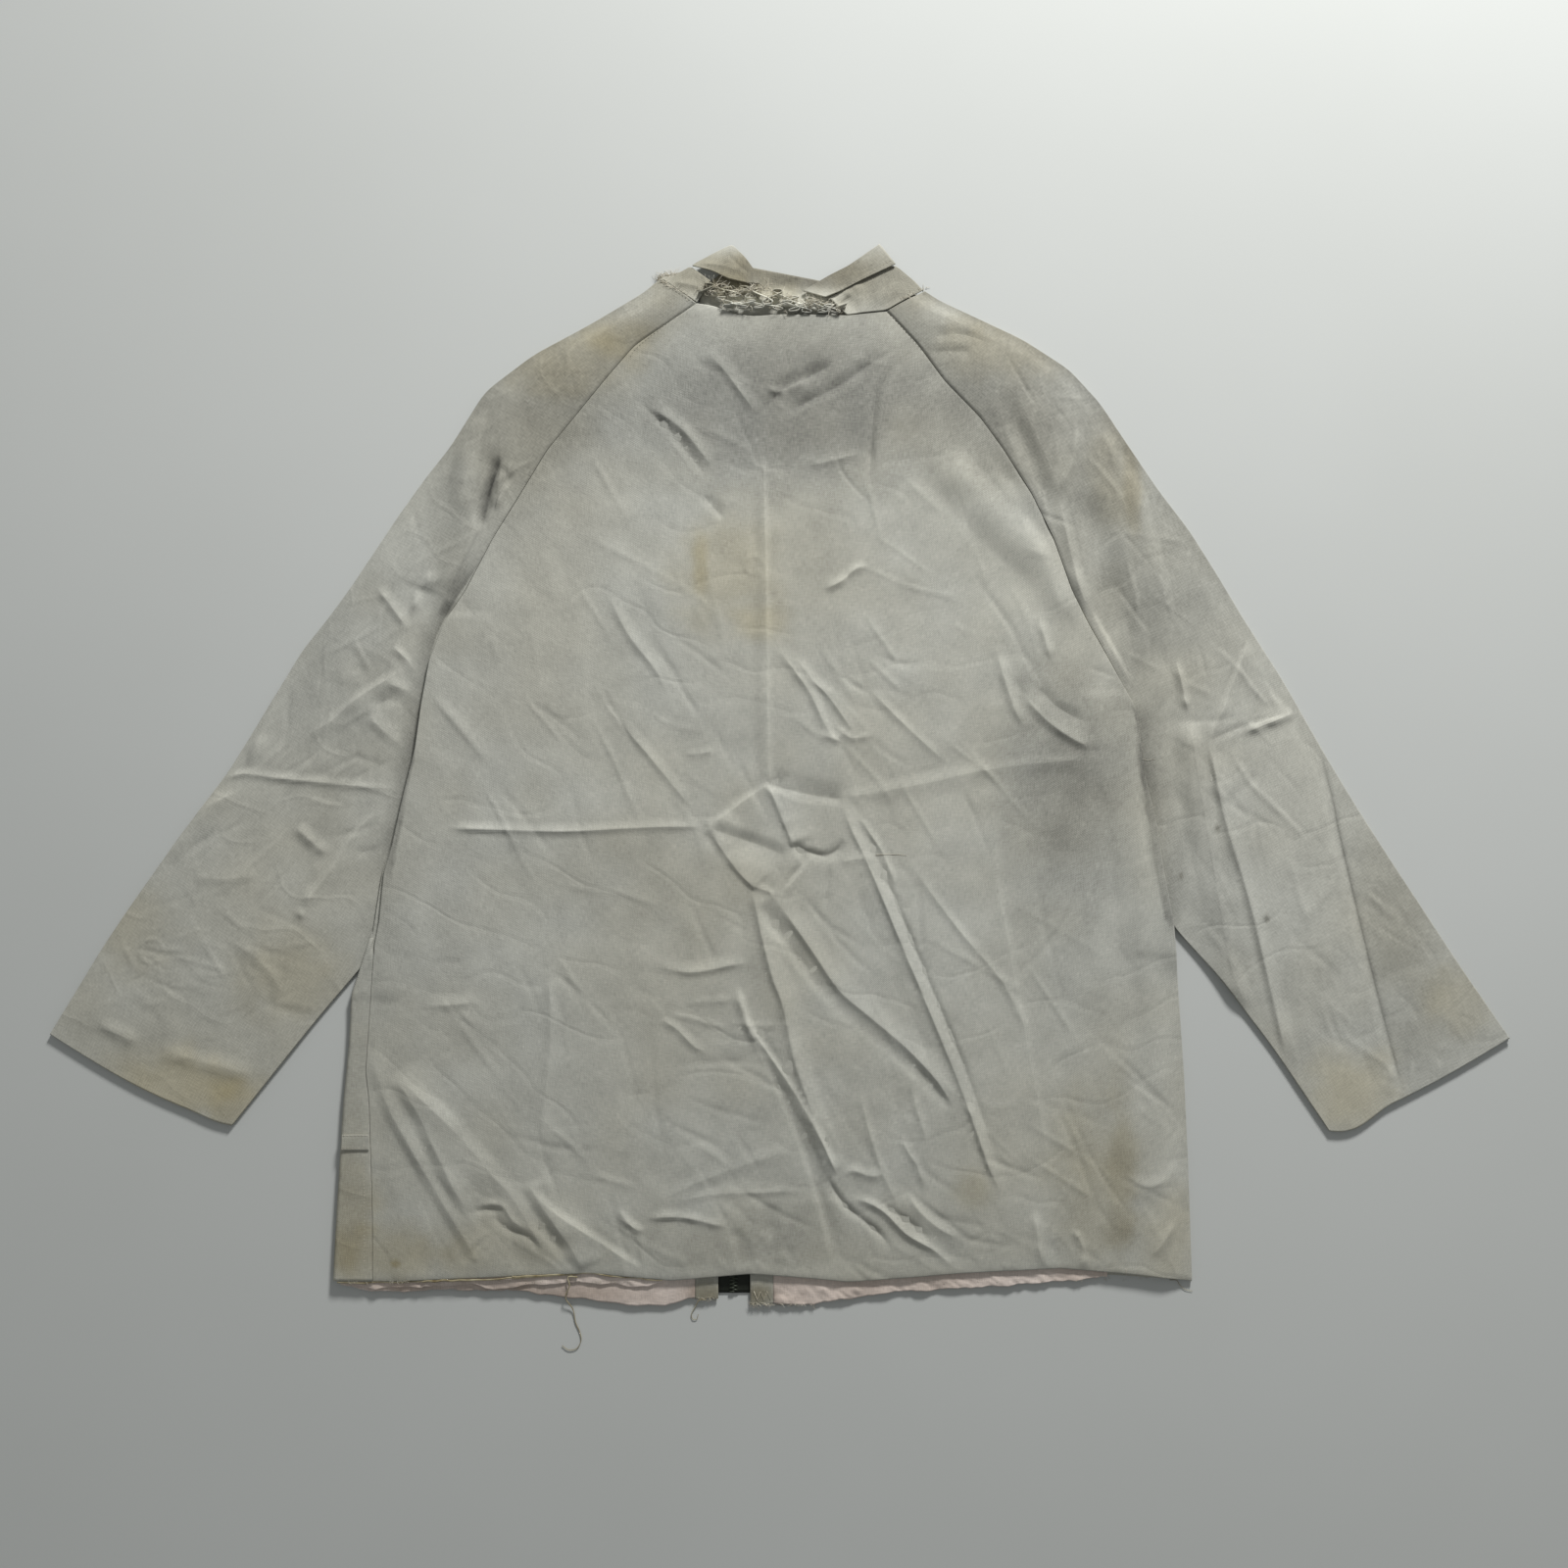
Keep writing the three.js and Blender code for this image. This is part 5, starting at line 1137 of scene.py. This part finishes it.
def zip_tape(name, start, end, side):
    """The tape of one half of the zip, with its cord beside the teeth."""
    v = np.linspace(0, 1, 241)[:, None]
    u = np.linspace(0, 1, 13)[None, :]
    x = lerp(start, end, u) + 0 * v
    y = lerp(front_neck(x) - 1, ZIP_LOW, v)
    cord = ramp(3.6, 2.8, (end - x) if side < 0 else (x - start))
    z = 1.0 + 0.55 * cord
    return shell(name, np.stack([x, y, z], axis=2), SHOWN_TAPE, "zip_tape")


def zip_teeth(name, side):
    """The teeth of one half, each a small block with a rounded top."""
    pitch, long, wide = 2.8, 3.0, 1.25
    first = ZIP_LOW + 1 + (pitch / 2 if side > 0 else 0)
    points, faces = [], []
    for k in range(int((front_neck(ZIP_MIDDLE) - 4 - first) / pitch)):
        y = first + k * pitch
        inner, outer = ZIP_MIDDLE - side * 0.9, ZIP_MIDDLE + side * long
        base = len(points)
        for z, share in ((1.4, 1.0), (2.1, 1.0), (2.45, 0.6)):
            middle = (inner + outer) / 2
            for px, py in ((inner, -1), (outer, -1), (outer, 1), (inner, 1)):
                points.append([lerp(middle, px, share), y + py * wide / 2 * share, z])
        for level in (0, 4):
            for a in range(4):
                b = (a + 1) % 4
                faces.append([base + level + a, base + level + b, base + level + 4 + b,
                              base + level + 4 + a])
        faces += [[base + 8, base + 9, base + 10, base + 11], [base + 3, base + 2, base + 1, base]]
    return mesh_piece(name, np.array(points), faces, "zip_tooth")


def patch_grid(sections, rows, columns, cloth):
    """Points of a patch between a low and a high edge, from a table of sections."""
    u = np.linspace(0, 1, columns)
    lx, ly, lz, hx, hy, hz = (a[None, :] for a in section_at(sections, u))
    v = np.linspace(0, 1, rows)[:, None]
    return np.stack([lerp(hx, lx, v), lerp(hy, ly, v), lerp(hz, lz, v) + cloth], axis=2)


# Sections of the collar's pieces: x, y and z of the low edge, then of the high one
COLLAR_LEFT = [
    (-86, 380.6, 3.0, -88, 382, 2.2), (-74, 372, 3.8, -73, 385.4, 2.2),
    (-66, 366.4, 4.4, -65.5, 389.6, 2.4), (-60.8, 363, 4.4, -51, 379, 3.2),
]
COLLAR_LEFT_END = [
    (-64, 390, 3.6, -61.5, 392, 3.2), (-50, 386, 5.2, -46, 400.5, 2.4),
    (-38, 380, 5.4, -35, 406, 1.8), (-25, 377.6, 3.6, -25, 396, 1.8),
    (-15, 377.4, 2.2, -14, 380.5, 1.8),
]
COLLAR_FRONT = [
    (-57, 337.2, 0, -59, 373, 0), (-30, 330, 0, -34, 392, 0), (0, 331.4, 0, 0, 385.4, 0),
    (28, 333.8, 0, 28, 380, 0), (57, 339.6, 0, 60, 373, 0),
]
COLLAR_RIGHT = [
    (49, 354, 4.4, 36, 366.5, 2.6), (62, 355.6, 4.4, 52, 376, 2.2), (77.5, 357, 4.4, 67, 384, 2),
    (92, 365.2, 4.2, 84, 391, 2), (104.6, 372, 3.2, 99, 378.5, 2),
]
CHIN_STRAP = [
    (33, 366.8, 4.4, 17, 371.6, 2.4), (44, 371, 4.4, 36, 383, 2.4),
    (60, 379.4, 4.2, 50, 390, 2.4), (84.6, 391, 4, 73, 406, 2.4),
]
SIDE_TAB = [(-320.5, -257, 6.2, -320, -246, 6.2), (-300.6, -257, 6.2, -300.6, -246, 6.2)]
COLLAR_CREASES = {
    "collar_left": [crease(0.9, 5, 5, (-80, 378), (-66, 376), (-55, 372))],
    "collar_left_end": [crease(0.5, 4, 3, (-62, 391), (-44, 390), (-24, 384)),
                        crease(-0.4, 3, 3, (-40, 400), (-32, 392), (-22, 384))],
    "collar_front": [crease(1.0, 8, 8, (-22, 384), (-8, 372), (6, 362), sharp=0.3),
                     crease(0.8, 6, 6, (20, 380), (8, 372), (0, 366), sharp=0.4)],
    "collar_right": [crease(-1.6, 7, 7, (44, 368), (49, 362), (60, 358), sharp=0.3),
                     crease(1.0, 5, 6, (42, 360), (50, 371), (62, 376), sharp=0.4),
                     crease(0.7, 6, 6, (66, 362), (84, 372), (96, 374), sharp=0.3)],
    "chin_strap": [crease(0.35, 4, 4, (30, 372), (52, 384), (76, 398), sharp=0.2)],
    "side_tab": [],
}


def collar_piece(node, sections, cloth):
    grid = patch_grid(sections, 41, 61, cloth)
    x, y = grid[..., 0], grid[..., 1]
    grid[..., 2] += creases_at(COLLAR_CREASES[node], x, y) + 0.12 * noise(x, y, 9, 41)
    return shell(f"cloth_{node}", grid, SHOWN_CLOTH)


def ruffle(name, centre, low, high, loops, swing, seed):
    """A torn, gathered edge: a narrow band that stands up and runs to and fro in loops."""
    points_a_loop, lean = 26, 1.5
    count = int(loops * points_a_loop)
    t = np.linspace(0, 1, count)
    path = smooth_path(centre, 1.5)
    places = np.linspace(0, 1, len(path))
    px, py = (np.interp(t, places, path[:, k]) for k in (0, 1))
    phase = 2 * math.pi * loops * t + 1.3 * noise(t * loops, 0 * t, 1.0, seed)
    size = swing * (0.75 + 0.45 * noise(t * loops, 0 * t + 3, 1.4, seed + 1))
    step = (path[-1, 0] - path[0, 0]) / loops
    px = px + 0.42 * step * np.sin(2 * phase)
    py = py + size * np.sin(phase)
    v = np.linspace(0, 1, 9)[None, :]
    fray = 0.35 * noise(t * count / 3, 0 * t, 1.0, seed + 2)
    top = lerp(low, high, 0.75 + 0.35 * noise(t * loops, 0 * t + 7, 1.2, seed + 3)) + fray
    z = lerp(low, top[:, None], v)
    tilt = lean * v**2 * np.cos(phase * 0.5 + seed)[:, None]
    grid = np.stack([px[:, None] + tilt * 0.6, py[:, None] + tilt, z], axis=2)
    return shell(name, grid, SHOWN_RUFFLE)


def on_path(points):
    """A line for stitches: the point at a share of a path, and the path's length."""
    path = np.array(points, float)
    steps = np.concatenate([[0], np.cumsum(np.linalg.norm(np.diff(path, axis=0), axis=1))])

    def at(share):
        place = np.clip(share, 0, 1) * steps[-1]
        return np.array([np.interp(place, steps, path[:, k]) for k in range(3)])

    return at, steps[-1]


def dress(piece, node, slot, flat, area, rests_on=()):
    """Hides the CAD node that a sheet of cloth stands for and adds the sheet to the outer pieces. How it
    was cut is not used.
    """
    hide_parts(node)
    list(rests_on)
    outer_pieces.append(piece)


def camera():
    """A camera over the jacket that covers the width of floor that the photo shows."""
    high, covered = 1.30, 1.152
    sensor = 36.0
    data = bpy.data.cameras.new("camera")
    data.sensor_width = sensor
    data.lens = sensor * high / covered
    made = placed("camera", data)
    made.location = (0.0030, 0.0104, high)
    bpy.context.scene.camera = made


def area_light(name, place, size, watts):
    """A round lamp at a place, turned to the middle of the jacket."""
    data = bpy.data.lights.new(name, "AREA")
    data.shape = "DISK"
    data.size = size
    data.energy = watts
    made = placed(name, data)
    made.location = place
    x, y, z = (-c for c in place)
    made.rotation_euler = (math.atan2(math.hypot(x, y), -z), 0, math.atan2(y, x) - math.pi / 2)


def studio():
    """The floor, the sky and the lamp."""
    half = 8.0
    mesh = bpy.data.meshes.new("floor")
    corners = [(-half, -half, 0), (half, -half, 0), (half, half, 0), (-half, half, 0)]
    mesh.from_pydata(corners, [], [(0, 1, 2, 3)])
    mesh.materials.append(MATERIALS["floor"])
    placed("floor", mesh)
    world = bpy.data.worlds.new("world")
    world.use_nodes = True
    background = world.node_tree.nodes["Background"]
    background.inputs["Color"].default_value = (0.96, 0.99, 1.0, 1)
    background.inputs["Strength"].default_value = 0.27
    bpy.context.scene.world = world
    bpy.context.scene.view_settings.view_transform = "Standard"
    area_light("key", (0.6, 1.85, 0.95), 0.4, 60)


camera()
studio()
outer_pieces = []

back = shell("cloth_back", back_grid(), SHOWN_CLOTH, every=4)
front_left = left_front()
front_right = right_front()
dress(back, "back_panel", "cloth", (0.62, 0.72), 0.357, rests_on=[front_left, front_right])
dress(front_left, "front_left", "cloth", (0.33, 0.73), 0.162)
dress(front_right, "front_right", "cloth", (0.33, 0.72), 0.19)
for which, flat, area in (("left", (0.21, 0.70), 0.076), ("right", (0.20, 0.72), 0.08)):
    upper, lower = sleeve_back(which), sleeve_front(which)
    dress(upper, f"sleeve_{which}_back", "cloth", flat, area, rests_on=[lower])
    dress(lower, f"sleeve_{which}_front", "cloth", flat, area)

FRONT_STRIP_FLOOR = CLOTH + SEAM_GAP
BACK_STRIP_FLOOR = FRONT_STRIP_FLOOR + LINING_CLOTH + SEAM_GAP


def front_lining_hem(x):
    return front_hem(x) - 1.2


def facing_hem(y):
    """The hem of a facing, which is straight."""
    return lambda x: y + 0 * x


below = {"front_left": front_left, "front_right": front_right}
for name, node, slot, start, end, hem, floor, crumple, seed, flat, rests_on in (
    ("lining_front_left_hem", "lining_front_left", "lining", -322, -62.3, front_lining_hem,
     FRONT_STRIP_FLOOR, 0.2, 51, (0.26, 0.036), "front_left"),
    ("lining_front_right_hem", "lining_front_right", "lining", -4.7, 240, front_lining_hem,
     FRONT_STRIP_FLOOR, 0.7, 52, (0.25, 0.033), "front_right"),
    ("lining_back_hem", "lining_back", "lining", -322, -83, back_lining_hem,
     BACK_STRIP_FLOOR, 0.5, 53, (0.24, 0.024), "lining_front_left"),
    ("cloth_facing_left", "facing_left", "cloth", -62, ZIP_LEFT - SEAM_GAP, facing_hem(-367),
     FRONT_STRIP_FLOOR, 0.15, 54, (0.017, 0.032), "front_left"),
    ("cloth_facing_right", "facing_right", "cloth", ZIP_RIGHT + SEAM_GAP, -5, facing_hem(-371),
     FRONT_STRIP_FLOOR, 0.15, 55, (0.017, 0.036), "front_right"),
):
    below[node] = hem_strip(name, start, end, hem, floor, slot, crumple, seed)
    dress(below[node], node, slot, flat, None, rests_on=[below[rests_on]])

for side, which, ends in ((-1, "left", (ZIP_LEFT, ZIP_MIDDLE - SEAM_GAP / 2)),
                          (1, "right", (ZIP_MIDDLE + SEAM_GAP / 2, ZIP_RIGHT))):
    tape = zip_tape(f"zip_tape_{which}", *ends, side)
    teeth = zip_teeth(f"zip_teeth_{which}", side)
    dress(tape, f"zip_half_{which}", "zip_tape", (0.0115, 0.692), None)

for node, sections, cloth, flat, area, rests_on in (
    ("collar_left", COLLAR_LEFT, CLOTH, (0.034, 0.024), 0.00042, []),
    ("collar_left_end", COLLAR_LEFT_END, CLOTH, (0.05, 0.026), 0.00068, []),
    ("collar_front", COLLAR_FRONT, CLOTH, (0.118, 0.058), 0.0056, []),
    ("collar_right", COLLAR_RIGHT, CLOTH, (0.064, 0.028), 0.00135, []),
    ("chin_strap", CHIN_STRAP, 1.8, (0.064, 0.018), 0.00092, []),
    ("side_tab", SIDE_TAB, 1.0, (0.02, 0.011), None, [front_left]),
):
    dress(collar_piece(node, sections, cloth), node, "cloth", flat, area, rests_on=rests_on)

for which, centre, low, high, loops, swing, seed in (
    ("upper", [(-56, 371), (-40, 372), (-24, 370), (-6, 367), (14, 363), (33, 361)],
     3.4, 8.8, 7, 4.4, 61),
    ("lower", [(-46, 364), (-33, 361), (-8, 360.5), (18, 359), (44, 358.5)],
     4.6, 9.6, 8, 3.2, 62),
):
    gathered = ruffle(f"cloth_ruffle_{which}", centre, low, high, loops, swing, seed)
    dress(gathered, f"neck_ruffle_{which}", "cloth", (0.14, 0.011), None)

chance = np.random.default_rng(7)
roots = []
for x0, x1, y0, y1, z, count in ((-56, 36, 372, 362, 9.2, 100), (-46, 44, 362, 357, 9.8, 60)):
    for x in chance.uniform(x0, x1, count):
        roots.append((x, lerp(y0, y1, (x - x0) / (x1 - x0)) + chance.normal(0, 2.2), z
                      - chance.uniform(0, 3)))
neck_fray = hairs("thread_neck_fray", roots, 90, 6.5, 71, radius=0.2, curl=1.5, rise=0.9)
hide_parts("neck_fray")

HEM_THREADS = {  # the points of each and its radius
    "hem_thread_long": ([(-148, -350.4, 5.2), (-155, -350.4, 5.3), (-154, -357, 5.2),
                         (-157, -366, 3.9), (-152, -375, 1.4), (-150, -385, 0.7),
                         (-147, -392, 0.7), (-146, -398, 0.7), (-149, -404, 0.7),
                         (-155, -405.3, 0.7), (-160, -402, 0.7)], 0.55),
    "hem_thread_loop": ([(-54, -367.9, 2.6), (-59, -367.9, 2.6), (-62, -373, 1.3),
                         (-65, -379, 0.7), (-64, -382.5, 0.7), (-61, -382.5, 0.7),
                         (-60, -379, 0.7)], 0.45),
    "hem_thread_right": ([(286, -353.4, 1.7), (291, -353.7, 1.6), (294, -358, 0.8),
                          (298, -361, 0.6), (303, -362, 0.6)], 0.3),
}
for node, (points, radius) in HEM_THREADS.items():
    piece = tubes(f"loose_{node}", [smooth_path(points, 1.0)], [radius], "thread", sides=6)
    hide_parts(node)

# Sewing, frays and loose threads, which lie on the cloth
top = Surface(*outer_pieces)
SEAMS = {
    "dark_thread": [
        ((85, 361), (96, 366), (107, 373)),
        ((-88, 378), (-76, 370), (-63, 362)),
        ((-65, 360), (-84, 346), (-104, 330), (-110, 322)),
        ((80, 354), (92, 341), (104, 327)),
    ],
    "pale_thread": [
        ((-320, -246.6), (-301, -246.6)),
        ((-320, -255.6), (-301, -255.6)),
        ((-304, -250), (-304, -340)),
        ((44, 372), (60, 381), (82, 394)),
    ],
}
for material, seams in SEAMS.items():
    laid = [top.line(seam, 0.1) for seam in seams]
    lines = [on_path(path) for path in laid if len(path) > 1]
    stitches(f"thread_sewing_{material[:4]}", lines, material)

FRAYS = [  # from, to, how many hairs, mean heading in degrees, mean length
    ((-86, 378), (-64, 364), 50, 125, 3.6),
    ((-90, 381), (-76, 384), 60, 100, 4.4),
    ((-56, 370), (-38, 376), 90, 80, 7.0),
    ((-30, 368), (-8, 374), 80, 70, 7.0),
    ((6, 364), (40, 360), 50, 80, 4.0),
    ((88, 364), (108, 375), 30, 60, 2.6),
    ((40, 357), (50, 358), 22, -60, 3.6),
    ((-322, -354), (-240, -353), 60, -80, 2.8),
    ((-240, -353), (-82, -353), 90, -85, 2.2),
    ((-60, -366), (-46, -366.5), 40, -95, 3.0),
    ((-21, -370), (-6, -370.5), 60, -90, 3.6),
    ((-4, -371), (26, -371.5), 40, -80, 2.6),
    ((40, -355), (290, -352), 50, -85, 1.8),
]
chance = np.random.default_rng(11)
for k, (start, end, count, heading, long) in enumerate(FRAYS):
    roots = []
    for share in chance.uniform(0, 1, count):
        x, y = lerp(start[0], end[0], share), lerp(start[1], end[1], share) + chance.normal(0, 0.5)
        roots.append((x, y, max(top.height(x, y) - 0.1, 0.6)))
    hairs(f"thread_fray_{k}", roots, heading, long, 80 + k, radius=0.17, curl=1.2, rise=0.4)

rolled = []  # the rolled, ragged edge of the hem at the left
for start, end, drop in ((-324, -236, 0.6), (-262, -150, 1.1), (-196, -84, 0.4)):
    x = np.arange(start, end, 1.6)
    y = back_hem(x) - drop + 0.5 * noise(x, 0 * x, 6, 91) + 0.5 * noise(x, 0 * x, 17, 92)
    z = 5.2 + 0.35 * noise(x, 0 * x, 9, 93)
    rolled.append(np.stack([x, y, z], axis=1))
thread_piece(tubes("thread_hem_roll", rolled, [0.75, 0.9, 0.75], "thread", sides=6))

LOOSE = [  # small white threads that lie on the cloth
    ((70, -41.5), (80, -41), (93, -41.8)),
    ((265, 28.5), (270, 28), (275, 28.4)),
    ((253, -344), (253.6, -350), (254, -353)),
]
lying = [top.line(path, 0.15) for path in LOOSE]
thread_piece(tubes("thread_loose_small", lying, [0.22] * 3, "pale_thread"))
zigzag = [(-19 + 2.4 * k, -361.5 - (k % 2) * 6.5) for k in range(6)]
sewn = [(x, y, top.height(x, y) + 0.15) for x, y in zigzag]
thread_piece(tubes("thread_zigzag", [sewn], [0.42], "pale_thread"))
